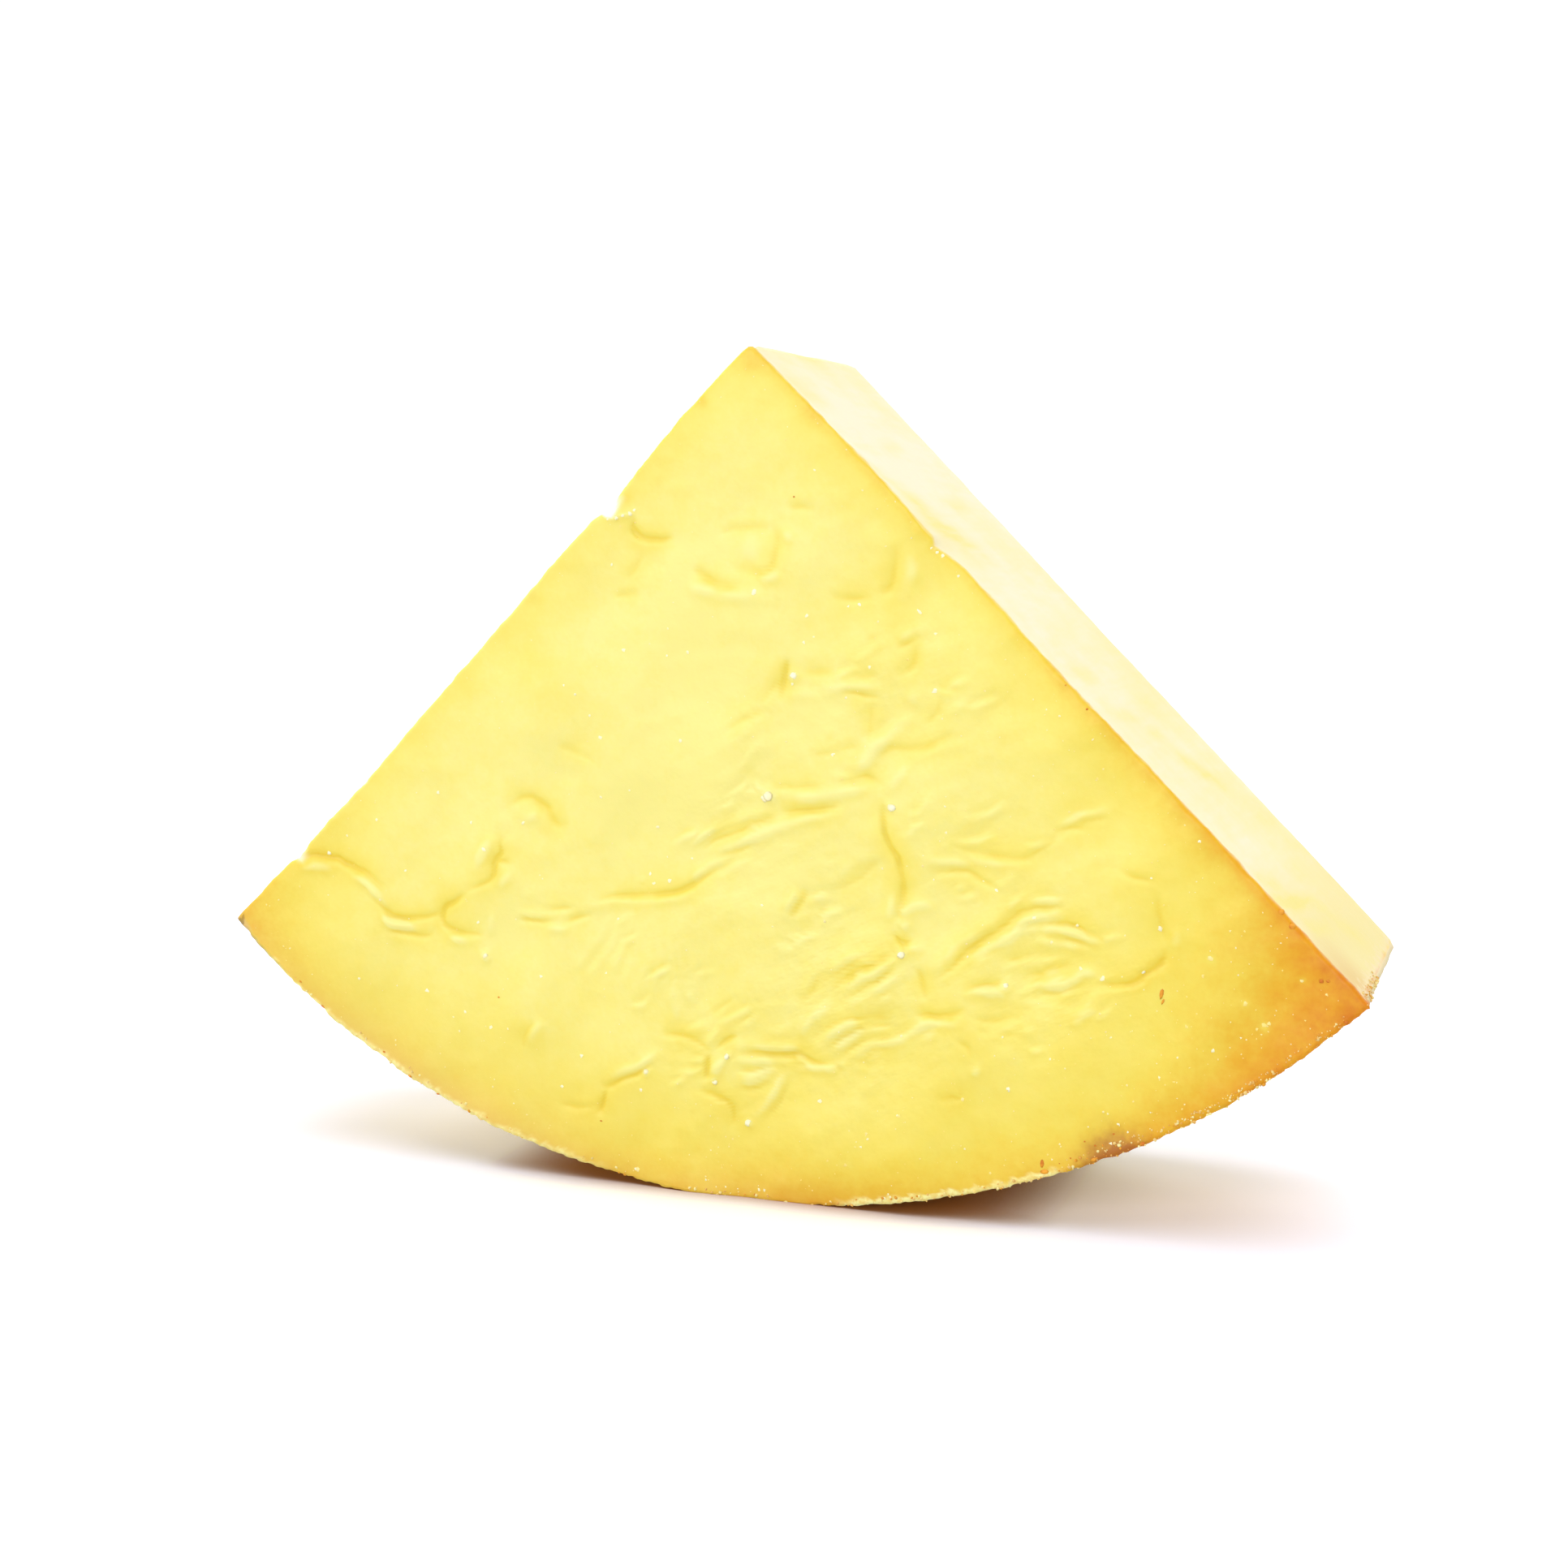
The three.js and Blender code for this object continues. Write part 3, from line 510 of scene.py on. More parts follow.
# Height of a fold along a line: size times a bell of the distance from the line over the width, within
# its reach in widths, fading out at the line's ends as 1 - |2 share - 1|^endPower
def foldHeight(x, d, size, width, points):
    line = smoothLine(points)
    reach = foldShape["reach"] * width
    low, high = line.min(0) - reach, line.max(0) + reach
    inside = np.flatnonzero((x > low[0]) & (x < high[0]) & (d > low[1]) & (d < high[1]))
    height = np.zeros_like(x)
    if not len(inside):
        return height
    spot = np.stack([x[inside], d[inside]], -1)
    nearest, share = np.full(len(inside), 1e9), np.zeros(len(inside))
    last = len(line) - 1
    for k in range(last):
        run = line[k + 1] - line[k]
        t = np.clip((spot - line[k]) @ run / (run @ run), 0, 1)
        away = np.linalg.norm(spot - line[k] - t[:, None] * run, axis=1)
        closer = away < nearest
        nearest = np.where(closer, away, nearest)
        share = np.where(closer, (k + t) / last, share)
    height[inside] = size * (1 - np.abs(2 * share - 1) ** foldShape["endPower"]) * bell(nearest / width)
    return height


# Each row is one more ridge of the sheaf, blended from the first line to the last
def sheafRidges(setup):
    first, last = np.array(setup["first"], float), np.array(setup["last"], float)
    shares = np.linspace(0, 1, setup["count"]) ** setup["gather"]
    return [(setup["height"], setup["width"], first + (last - first) * s) for s in shares]


# Short fine creases strewn over the wrinkled parts. Turn is the middle and standard deviation, other
# pairs are from and to, and ridge depth and width are shares of the crease's.
creaseSetup = {
    "seed": 21,
    "perRadius": 1.7,
    "turn": (27, 11),
    "length": (2.5, 6.5),
    "depth": (0.1, 0.3),
    "width": (0.3, 0.45),
    "bend": (-0.12, 0.12),
    "ridgeGap": 0.85,
    "ridgeDepth": 0.9,
    "ridgeWidth": 1.4,
}


# Each crease is a line of three points bent a little to one side, with a low ridge right below it
def strewCreases(setup):
    rng = np.random.default_rng(setup["seed"])
    cuts, rolls = [], []
    for x, d, radius, strength in wrinkledParts:
        for k in range(int(setup["perRadius"] * radius * strength)):
            away, around = radius * math.sqrt(rng.uniform(0, 1)), rng.uniform(0, 2 * math.pi)
            turn = math.radians(rng.normal(*setup["turn"]))
            length, depth, width = (rng.uniform(*setup[key]) for key in ("length", "depth", "width"))
            middle = np.array([x + away * math.cos(around), d + away * math.sin(around)])
            along = np.array([math.cos(turn), -math.sin(turn)])
            aside = np.array([math.sin(turn), math.cos(turn)])
            bend = rng.uniform(*setup["bend"]) * length * aside
            reach = along * length / 2
            line = np.array([middle - reach + bend, middle, middle + reach + bend])
            cuts.append((depth, width, line))
            roll = line + setup["ridgeGap"] * aside
            rolls.append((setup["ridgeDepth"] * depth, setup["ridgeWidth"] * width, roll))
    return cuts, rolls


lumpWaves = {"count": 9, "height": 0.09, "longest": 46.0, "shortest": 15.0}


# Sum of long waves, each turned by the golden angle from the one before
def lumps(x, d):
    turnStep = math.pi * (3 - math.sqrt(5))
    lengths = np.linspace(lumpWaves["longest"], lumpWaves["shortest"], lumpWaves["count"])
    total = np.zeros_like(x)
    for k, length in enumerate(lengths):
        run = x * math.cos(k * turnStep) + d * math.sin(k * turnStep)
        total += lumpWaves["height"] * np.sin(2 * math.pi * run / length + k * k)
    return total


# Finer unevenness of the rind as (noise scale, height), and how the folds wobble and vary, as (noise
# scale, share). Faint folds are lifted: each listed size is raised to the fold power.
# Wrinkles are noise drawn out along a turned direction, thickest about one place.
rindGrain = {
    "layers": [(6.0, 0.10), (3.0, 0.06), (1.5, 0.035)],
    "wobbles": [(3.0, 0.16), (1.1, 0.10)],
    "change": (2.2, 0.45),
    "foldPower": 0.82,
    "ridgeWiden": 1.2,
    "hollowShadeWidth": 2.3,
    "wrinkles": [
        {"turn": 27, "along": 5.0, "across": 1.7, "height": 0.07, "at": (26, 82), "reach": 34},
        {"turn": 80, "along": 5.0, "across": 1.8, "height": 0.04, "at": (-45, 90), "reach": 26},
        {"turn": 15, "along": 6.0, "across": 1.8, "height": 0.05, "at": (8, 40), "reach": 24},
    ],
}


# Relief of a rind face: lumps, grain and wrinkles, less the grooves, plus ridges and knobs on wobbled
# lines. Returns the height, and apart from it how much there is of groove, ridge and of a broad hollow
# round the grooves, which only adds painted shade to the colour. What is added to the seed shifts each
# noise. Widen makes grooves and ridges that many times as wide.
def rindRelief(x, d, seed, widen=1.0):
    flat = np.stack([x, d, np.full_like(x, seed)], -1)
    height = lumps(x, d)
    for scale, size in rindGrain["layers"]:
        height += size * noise(flat, scale, seed)
    for fine in rindGrain["wrinkles"]:
        c, s = math.cos(math.radians(fine["turn"])), math.sin(math.radians(fine["turn"]))
        along, across = (x * c - d * s) / fine["along"], (x * s + d * c) / fine["across"]
        drawn = np.stack([along, across, flat[..., 2]], -1)
        away = np.hypot(x - fine["at"][0], d - fine["at"][1])
        height += fine["height"] * noise(drawn, 1.0, seed + 2) * bell(away / fine["reach"])
    wx, wd = x, d
    for scale, size in rindGrain["wobbles"]:
        wx = wx + size * noise(flat, scale, seed + 5)
        wd = wd + size * noise(flat, scale, seed + 9)
    groove, ridge, hollowShade = np.zeros_like(x), np.zeros_like(x), np.zeros_like(x)
    cuts, rolls = strewCreases(creaseSetup)
    for size, width, line in cuts:
        groove = np.maximum(groove, foldHeight(wx, wd, size, widen * width, line))
    for size, width, line in grooves:
        size = size ** rindGrain["foldPower"]
        groove = np.maximum(groove, foldHeight(wx, wd, size, widen * width, line))
        hollowShade = np.maximum(hollowShade, foldHeight(x, d, size, rindGrain["hollowShadeWidth"], line))
    for size, width, line in ridges + sheafRidges(sheaf) + rolls:
        size = size ** rindGrain["foldPower"]
        ridge = np.maximum(ridge, foldHeight(wx, wd, size, rindGrain["ridgeWiden"] * widen * width, line))
    for kx, kd, radius, size in knobs:
        ridge = np.maximum(ridge, size * bell(np.hypot(wx - kx, wd - kd) / radius))
    scale, share = rindGrain["change"]
    change = 1 + share * noise(flat, scale, seed + 17)
    groove, ridge = groove * change, ridge * change
    height += wedgeForm["ridgeScale"] * ridge - wedgeForm["grooveScale"] * groove
    return height, groove, ridge, hollowShade


# Moves points outside the circle that touches two faces onto it; near and far are the depths inside them
def rounded(near, far, radius):
    away = np.hypot(radius - near, radius - far)
    outside = (near < radius) & (far < radius) & (away > radius)
    pull = np.where(outside, 1 - radius / np.maximum(away, 1e-9), 0)
    return (radius - near) * pull, (radius - far) * pull


def wander(side, fromTip):
    places, steps = zip(*edgeWander[side])
    return np.interp(fromTip, places, steps)


# How browned the rind is, from 0 to 1: it grows towards the rim, the right cut, the left cut and the
# two corners, and the shares add up as 1 - (1 - a)(1 - b)... Each is a share, a reach in mm and a power,
# as far as it has them. The low one is added further down, and a line beside the left cut is paler.
# Parts are where a share comes in or ends, in mm from the tip or as a share of the way to a cut.
rindTones = {
    "rim": (0.7, 12.0, 1.15),
    "rimLeft": 0.15,
    "rimRight": (0.17, 5.0),
    "rightEdge": (0.5, 4.0),
    "rightEdgeLow": (0.12, 3.5),
    "rightLip": (0.22, 1.3),
    "leftEdge": (0.36, 4.5),
    "leftLine": (0.6, 0.5),
    "rightCorner": (0.82, 22.0, 1.35),
    "leftCorner": (0.2, 12.0, 1.3),
    # Share of painted shade browning the tone in a broad band round the grooves
    "hollowShade": 0.4,
    "lowPart": (50, 75),
    "rimLeftPart": (-0.15, -0.4),
    "rimRightPart": (0.42, 0.6),
    "leftLineParts": ((20, 30), (108, 98)),
}


def rindTone(x, d, fromTip, rimGap, rightGap, leftGap):
    tones = rindTones
    low = smoothStep(*tones["lowPart"], fromTip)
    cornerX, cornerD = wedgeForm["radius"] * sinCut, wedgeForm["radius"] * cosCut
    across, rimGap = np.arctan2(x, d) / halfCut, np.maximum(rimGap, 0)
    size, reach, power = tones["rim"]
    size = size * (1 - tones["rimLeft"] * smoothStep(*tones["rimLeftPart"], across))
    shares = [size * np.exp(-((rimGap / reach) ** power))]
    size, reach = tones["rimRight"]
    shares.append(size * np.exp(-rimGap / reach) * smoothStep(*tones["rimRightPart"], across))
    size, reach = (a + b * low for a, b in zip(tones["rightEdge"], tones["rightEdgeLow"]))
    shares.append(size * np.exp(-rightGap / reach))
    size, reach = tones["rightLip"]
    shares.append(size * bell(rightGap / reach))
    size, reach = tones["leftEdge"]
    shares.append(size * np.exp(-leftGap / reach))
    for key, sign in (("rightCorner", 1), ("leftCorner", -1)):
        size, reach, power = tones[key]
        shares.append(size * np.exp(-((np.hypot(x - sign * cornerX, d - cornerD) / reach) ** power)))
    for px, pd, radius, size in tonePatches:
        shares.append(size * bell(np.hypot(x - px, d - pd) / radius))
    left = 1
    for share in shares:
        left = left * (1 - share)
    size, reach = tones["leftLine"]
    start, end = (smoothStep(*part, fromTip) for part in tones["leftLineParts"])
    return (1 - left) * (1 - size * bell(leftGap / reach) * start * end)


# Yellower veins on the cuts: (distance from the tip, depth, the same for the other end, width, strength)
pasteVeins = [
    (33, 8, 37, 12, 5, 0.8), (38, 12, 40, 16, 3, 0.6), (9, 4, 10, 9, 2.2, 0.4), (25, 2, 28, 7, 2, 0.4),
    (62, 10, 63, 16, 2, 0.5), (69, 8, 71, 13, 2, 0.35), (72, 16, 75, 22, 2.2, 0.5),
    (80, 23, 86, 30, 2.3, 0.7), (99, 5, 101, 10, 1.8, 0.6), (102.5, 2, 107, 22, 1.6, 1.0),
    (108, 8, 110, 16, 1.8, 0.6), (101, 24, 102, 30, 1.8, 0.4), (110, 22, 114, 27, 2.2, 0.45),
    (20, 18, 18, 27, 1.5, 0.3), (31, 25, 30, 33, 1.6, 0.35), (0, 18, 0, 25, 2, 0.8),
    (70, 30, 67, 40, 4, 0.3), (92, 33, 97, 40, 5, 0.3),
]


# Strength times a bell of the distance from each vein over its width, the strongest of them all
def veinShare(fromTip, depth):
    total = np.zeros_like(fromTip)
    for r1, d1, r2, d2, width, strength in pasteVeins:
        runR, runD = r2 - r1, d2 - d1
        t = np.clip(((fromTip - r1) * runR + (depth - d1) * runD) / (runR**2 + runD**2), 0, 1)
        away = np.hypot(fromTip - r1 - t * runR, depth - d1 - t * runD)
        total = np.maximum(total, strength * bell(away / width))
    return total


# Sides right and left of the block for a share of the radius and a turn from -1 to 1
def blockPlace(ring, across):
    near = ring * (1 - np.abs(across))
    return np.where(across >= 0, ring, near), np.where(across >= 0, near, ring)


# Noise layers as (size, scale, shift). A scale of three goes across, down and into the wedge.
unevenness = {
    "cutEdge": [(0.5, 2.5, 3), (0.35, 0.9, 7)],
    "frontRim": [(0.35, 2.2, 13)],
    "longEdge": [(0.12, 2.0, 51), (0.08, 0.8, 57)],
    "cut": [(0.14, (9, 9, 18), 31), (0.06, (3, 3, 7.5), 33)],
    "rim": [(0.08, 5, 41), (0.07, 1.7, 43)],
    "crumbs": [(0.18, 0.7, 61)],
    "rindDepth": [(0.35, 1.6, 71), (0.2, 0.7, 73)],
    "dustAndRimLight": [(0.35, 1.1, 83), (0.2, 0.5, 85)],
}


def uneven(points, key):
    return sum(size * noise(points, scale, shift) for size, scale, shift in unevenness[key])


# Reaches in mm: along the face and into the wedge for the long edges, where a step of more than chipFrom
# bares paste, and from the rim and into the wedge for the rim and its crumbs. The waves of the cuts come
# in over cutInset.
edgeShape = {
    "wanderReach": (2.5, 5),
    "chipFrom": 0.45,
    "chipReach": (0.9, 1.5),
    "cutInset": 3,
    "rimWidth": 0.6,
    "rimDepth": 6,
    "crumbReach": (1.2, 1.2),
    "crumbCorner": (1.5, 16),
    "crumbDrop": 0.2,
}

# Colours along the lower rim: about a share of the way to a cut, with a reach inward and into the wedge
rimMarks = {
    "stain": {"base": 0, "size": 1.25, "at": 0.578, "width": 0.058, "inward": 2.8, "depth": 3},
    # Duller, darker band on the left rim: the rind's dusty colour there, partly painted shade where the rim
    # curves away
    "rimTanAndShade": {"base": 0, "size": 1, "at": -0.58, "width": 0.38, "inward": 4.0, "depth": 6},
    "shade": {"base": 0.15, "size": 0.85, "at": 0.06, "width": 0.14, "inward": 3, "depth": 3},
}


# Base plus size times a bell along the rim, times an exponential fade inward and a bell into the wedge
def rimMark(mark, across, inward, depth):
    along = mark["base"] + mark["size"] * bell((across - mark["at"]) / mark["width"])
    return along * np.exp(-inward / mark["inward"]) * bell(depth / mark["depth"])


# Pale band on the rim, partly dust and partly painted light where the rounded rim catches it: parts as
# (share, where it comes in, where it ends), its fade inward and its depth
rimDustAndRimLight = {
    "parts": [(0.6, (-1, -0.93), (-0.2, -0.3)), (1, (0.12, 0.18), (0.52, 0.46))],
    "inward": (1.15, 0.3),
    "depth": 1.5,
}


# The largest of the parts, times the fade inward and a bell into the wedge
def dustAndRimLightOn(across, inward, depth):
    setup = rimDustAndRimLight
    parts = [share * smoothStep(*start, across) * smoothStep(*end, across)
             for share, start, end in setup["parts"]]
    return np.max(parts, axis=0) * smoothStep(*setup["inward"], inward) * bell(depth / setup["depth"])


# Depth below the rind counts backSlope times from the back. Chips add so many times their mm, and the
# worn rim ends add a size within a reach, past some mm from the front. Tone fades by a share between two
# depths, and only a part of the ridges behind gets the painted highlight.
rindFade = {
    "backSlope": 2.5,
    "chip": 3,
    "worn": (2.5, 1.2),
    "wornFrom": (1.5, 4),
    "tone": (20, 40, 0.35),
    "backRidge": 0.5,
    "chipFull": 4,
}


# The block's sides right, left and through run from 0 to 1. Ring = max(right, left), the angle
# goes evenly from one cut to the other round the tip, and through is the depth from the rind face.
def wedgePoints(right, left, through):
    form = wedgeForm
    ring = np.maximum(right, left)
    share = np.where(ring > 0, np.minimum(right, left) / np.maximum(ring, 1e-9), 0)
    turn = np.where(right >= left, 1, -1) * halfCut * (1 - share)
    swell, taper = form["wallSwell"] * (2 * through - 1) ** 2, form["wallTaper"] * through**2
    wallRadius = form["radius"] - swell - taper
    radius = ring * wallRadius
    x, d, y = radius * np.sin(turn), radius * np.cos(turn), through * form["thickness"]
    s, c = sinCut, cosCut
    fromRight, fromLeft = np.maximum(d * s - x * c, 0), np.maximum(d * s + x * c, 0)
    fromRim, fromBack = (1 - ring) * form["radius"], form["thickness"] - y
    zero, one = np.zeros_like(x), np.ones_like(x)
    inFront, inBack = np.stack([zero, zero, one], -1), np.stack([zero, zero, -one], -1)
    inRight, inLeft = np.stack([-c * one, s * one, zero], -1), np.stack([c * one, s * one, zero], -1)
    inRim = np.stack([-np.sin(turn), -np.cos(turn), zero], -1)
    place = np.stack([x, d, y], -1)
    worn = form["cutEdge"] * (1 + uneven(place, "cutEdge"))
    frontWorn = form["frontRim"] * (1 + uneven(place, "frontRim"))
    points = place.copy()
    for near, inNear, far, inFar, size in [
            (fromRim, inRim, y, inFront, frontWorn), (fromRim, inRim, fromBack, inBack, form["backRim"]),
            (fromRight, inRight, y, inFront, worn), (fromRight, inRight, fromBack, inBack, worn),
            (fromLeft, inLeft, y, inFront, worn), (fromLeft, inLeft, fromBack, inBack, worn),
            (fromRight, inRight, fromLeft, inLeft, form["tip"]),
            (fromRight, inRight, fromRim, inRim, worn),
            (fromLeft, inLeft, fromRim, inRim, form["leftCorner"] * worn)]:
        moveNear, moveFar = rounded(near, far, size)
        points += moveNear[..., None] * inNear + moveFar[..., None] * inFar

    # The long edges wander from a straight cut, most near the rind face
    edges, sliver = edgeShape, 0
    along, into = edges["wanderReach"]
    chipAlong, chipInto = edges["chipReach"]
    for side, gap, inSide in (("right", fromRight, inRight), ("left", fromLeft, inLeft)):
        step = wander(side, radius) + uneven(place, "longEdge")
        points += (step * bell(gap / along) * bell(y / into))[..., None] * inSide
        bared = np.maximum(step - edges["chipFrom"], 0)
        sliver = sliver + bared * bell(gap / chipAlong) * bell(y / chipInto)

    front, groove, ridge, hollowShade = rindRelief(x, d, form["frontSeed"])
    back, backGroove, backRidge, backHollowShade = rindRelief(-x, d, form["backSeed"], form["backWiden"])
    nearFront, nearBack = bell(y / form["reliefReach"]), bell(fromBack / form["reliefReach"])
    points[..., 2] += -front * nearFront + form["backRelief"] * back * nearBack

    # Soft waves of the cuts and the rind wall, and a crumbly rim
    cutWave = smoothStep(0, edges["cutInset"], np.minimum(y, fromBack)) * uneven(place, "cut")
    for gap, inSide in ((fromRight, inRight), (fromLeft, inLeft)):
        points += np.where(gap < 1e-6, cutWave, 0)[..., None] * inSide
    across, fromCut = turn / halfCut, np.minimum(fromRight, fromLeft)
    onRim = smoothStep(edges["rimWidth"], 0, fromRim)
    rimStep = uneven(place, "rim") + wander("rim", across) * bell(y / edges["rimDepth"])
    points += (onRim * rimStep)[..., None] * inRim
    inward, into = edges["crumbReach"]
    cornerAlong, cornerInto = edges["crumbCorner"]
    crumbly = bell(fromRim / inward) * (bell(y / into) + bell(fromCut / cornerAlong) * bell(y / cornerInto))
    points += (crumbly * (uneven(place, "crumbs") - edges["crumbDrop"]))[..., None] * inRim

    height = np.maximum(form["radius"] - form["restSag"] - points[..., 1], 0)
    final = np.stack([points[..., 0], points[..., 2] - form["thickness"] / 2, height], -1) * mm
    fade = rindFade
    rindDepth = np.minimum(np.minimum(y, fade["backSlope"] * fromBack), fromRim)
    ragged = uneven(place, "rindDepth") * smoothStep(0, edges["rimWidth"], rindDepth)
    rindDepth = np.where(rindDepth > 0, np.maximum(rindDepth + ragged, 0), 0)
    size, reach = fade["worn"]
    wornEnd = size * bell(fromCut / reach) * smoothStep(*fade["wornFrom"], y) * onRim
    rindDepth += fade["chip"] * sliver + wornEnd
    start, end, share = fade["tone"]
    tone = rindTone(x, d, radius, fromRim, fromRight, fromLeft) * (1 - share * smoothStep(start, end, y))
    # Painted shade: the tone is browned in a broad band round the grooves
    soft = np.maximum(hollowShade * nearFront, backHollowShade * nearBack)
    facts = {
        "rindDepth": rindDepth,
        "groove": np.maximum(groove * nearFront, backGroove * nearBack),
        "ridge": np.maximum(ridge * nearFront, fade["backRidge"] * backRidge * nearBack),
        "tone": 1 - (1 - tone) * (1 - rindTones["hollowShade"] * soft),
        **{name: rimMark(mark, across, fromRim, y) for name, mark in rimMarks.items()},
        "rimDustAndRimLight": dustAndRimLightOn(across, fromRim + uneven(place, "dustAndRimLight"), y),
        "chip": np.clip(fade["chipFull"] * sliver, 0, 1),
        "vein": veinShare(radius, np.where(across > 0, y, form["thickness"] - y)),
        "wrinkled": bellsOver(x, d, wrinkledParts) * nearFront,
        "fromTip": radius,
        "depthIn": y,
    }
    return final, facts


# Cells is the number of grid cells along each side of the front face, a multiple of 2. Layers are
# depths in mm below the front face; from the coarse ones on, and on the back, the grid has half the cells.
wedgeMesh = {
    "cells": 256,
    "fineLayers": [0.2, 0.45, 0.8, 1.3],
    "coarseLayers": [
        2.2, 3.5, 5.5, 8, 11, 14, 17, 20, 23, 26, 29, 32, 35, 37.5, 39.5, 41, 42, 42.8, 43.4, 43.8],
}


def loopPlaces(cells):
    run, one, zero = np.arange(cells) / cells, np.ones(cells), np.zeros(cells)
    right = np.concatenate([run, one, 1 - run, zero])
    left = np.concatenate([zero, run, one, 1 - run])
    return right, left


# Numbers of the vertices round the edge of a square grid, in the order of loopPlaces
def loopNumbers(cells):
    run = np.arange(cells)
    return np.concatenate([
        run * (cells + 1), cells * (cells + 1) + run,
        (cells - run) * (cells + 1) + cells, cells - run])


# Row and column numbers of a square grid, point by point
def gridNumbers(count):
    return (a.ravel() for a in np.meshgrid(np.arange(count), np.arange(count), indexing="ij"))


def gridFaces(cells, start):
    i, j = gridNumbers(cells)
    first = start + i * (cells + 1) + j
    return np.stack([first, first + cells + 1, first + cells + 2, first + 1], -1)


# The surface of a block: a front grid, rings of vertices down its walls, and a back grid. One
# ring has every other vertex of the ring before it, joined by three triangles for each pair.
def blockSurface(setup):
    cells, half = setup["cells"], setup["cells"] // 2
    thickness = wedgeForm["thickness"]
    right, left = (a / cells for a in gridNumbers(cells + 1))
    places = [np.stack([right, left, np.zeros_like(right)], -1)]
    rings = [loopNumbers(cells)]
    total = len(right)
    for count, depths in ((cells, setup["fineLayers"]), (half, setup["coarseLayers"])):
        right, left = loopPlaces(count)
        for depth in depths:
            places.append(np.stack([right, left, np.full(len(right), depth / thickness)], -1))
            rings.append(total + np.arange(len(right)))
            total += len(right)
    right, left = (a / half for a in gridNumbers(half + 1))
    places.append(np.stack([right, left, np.ones_like(right)], -1))
    rings.append(total + loopNumbers(half))

    quads = [gridFaces(cells, 0), gridFaces(half, total)[:, ::-1]]
    triangles = []
    for upper, lower in zip(rings[:-1], rings[1:]):
        if len(upper) == len(lower):
            quads.append(np.stack([np.roll(upper, -1), upper, lower, np.roll(lower, -1)], -1))
        else:
            first, middle, last = upper[0::2], upper[1::2], np.roll(upper, -2)[0::2]
            here, there = lower, np.roll(lower, -1)
            triangles += [
                np.stack([middle, first, here], -1), np.stack([middle, here, there], -1),
                np.stack([last, middle, there], -1)]
    return np.vstack(places), np.vstack(quads), np.vstack(triangles)


def signedVolume(points, triangles):
    a, b, c = (points[triangles[:, k]] for k in range(3))
    return np.einsum("ij,ij->i", a, np.cross(b, c)).sum() / 6


def inTriangles(faces):
    return np.vstack([faces[:, [0, 1, 2]], faces[:, [0, 2, 3]]]) if faces.shape[1] == 4 else faces


def newPiece(name, points, faceSets, material):
    halves = np.vstack([inTriangles(faces) for faces in faceSets])
    if signedVolume(points, halves) < 0:
        faceSets = [faces[:, ::-1] for faces in faceSets]
    corners = np.concatenate([faces.ravel() for faces in faceSets])
    sizes = np.concatenate([np.full(len(faces), faces.shape[1]) for faces in faceSets])
    mesh = bpy.data.meshes.new(name)
    mesh.vertices.add(len(points))
    mesh.vertices.foreach_set("co", points.astype(np.float32).ravel())
    mesh.loops.add(len(corners))
    mesh.loops.foreach_set("vertex_index", corners.astype(np.int32))
    mesh.polygons.add(len(sizes))
    mesh.polygons.foreach_set("loop_start", (np.cumsum(sizes) - sizes).astype(np.int32))
    mesh.polygons.foreach_set("loop_total", sizes.astype(np.int32))
    mesh.polygons.foreach_set("use_smooth", np.ones(len(sizes), bool))
    mesh.update(calc_edges=True)
    mesh.validate()
    mesh.materials.append(material)
    piece = bpy.data.objects.new(name, mesh)
    bpy.context.scene.collection.objects.link(piece)
    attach(piece, "root")
    print(name, "made:", len(halves), "triangles")
    return piece


def addFacts(piece, facts):
    for name, values in facts.items():
        layer = piece.data.attributes.new(name, "FLOAT", "POINT")
        layer.data.foreach_set("value", values.astype(np.float32))


def newGroup(name, inputs, outputs):
    group = bpy.data.node_groups.new(name, "ShaderNodeTree")
    for label, kind, value in inputs:
        socket = group.interface.new_socket(label, in_out="INPUT", socket_type=kind)
        if value is not None:
            socket.default_value = value
    for label, kind in outputs:
        group.interface.new_socket(label, in_out="OUTPUT", socket_type=kind)
    return group, addNode(group, "NodeGroupInput").outputs, addNode(group, "NodeGroupOutput").inputs


cloudDetail = {"blotches": 3.0, "pores": 3.0, "ripples": 2.0}
poreShare = 0.35


# Soft blotches: noise stretched between two levels, as a share from 0 to 1
def makeBlotches():
    group, given, wanted = newGroup(
        "blotches", [("Vector", "NodeSocketVector", None), ("Scale", "NodeSocketFloat", 60.0),
                     ("Low", "NodeSocketFloat", 0.4), ("High", "NodeSocketFloat", 0.6)],
        [("Share", "NodeSocketFloat")])
    soft = cloud(group, given["Vector"], given["Scale"], cloudDetail["blotches"])
    limits = {"Value": soft, "From Min": given["Low"], "From Max": given["High"]}
    ramp = addNode(group, "ShaderNodeMapRange", limits)
    feed(group, wanted["Share"], ramp.outputs["Result"])
    return group


# Waxy skin: fine pores, times their share, on slow ripples, as a height
def makeSkinGrain():
    group, given, wanted = newGroup(
        "skinGrain", [("Vector", "NodeSocketVector", None), ("Pores", "NodeSocketFloat", 1400.0),
                      ("Ripples", "NodeSocketFloat", 420.0)],
        [("Height", "NodeSocketFloat")])
    pores = cloud(group, given["Vector"], given["Pores"], cloudDetail["pores"])
    ripples = cloud(group, given["Vector"], given["Ripples"], cloudDetail["ripples"])
    feed(group, wanted["Height"], calc(group, "ADD", calc(group, "MULTIPLY", pores, poreShare), ripples))
    return group


groups = {"blotches": makeBlotches(), "skinGrain": makeSkinGrain()}


def blotches(tree, place, scale, low, high):
    return addNode(tree, "ShaderNodeGroup", {"Vector": place, "Scale": scale, "Low": low, "High": high},
                   node_tree=groups["blotches"]).outputs["Share"]


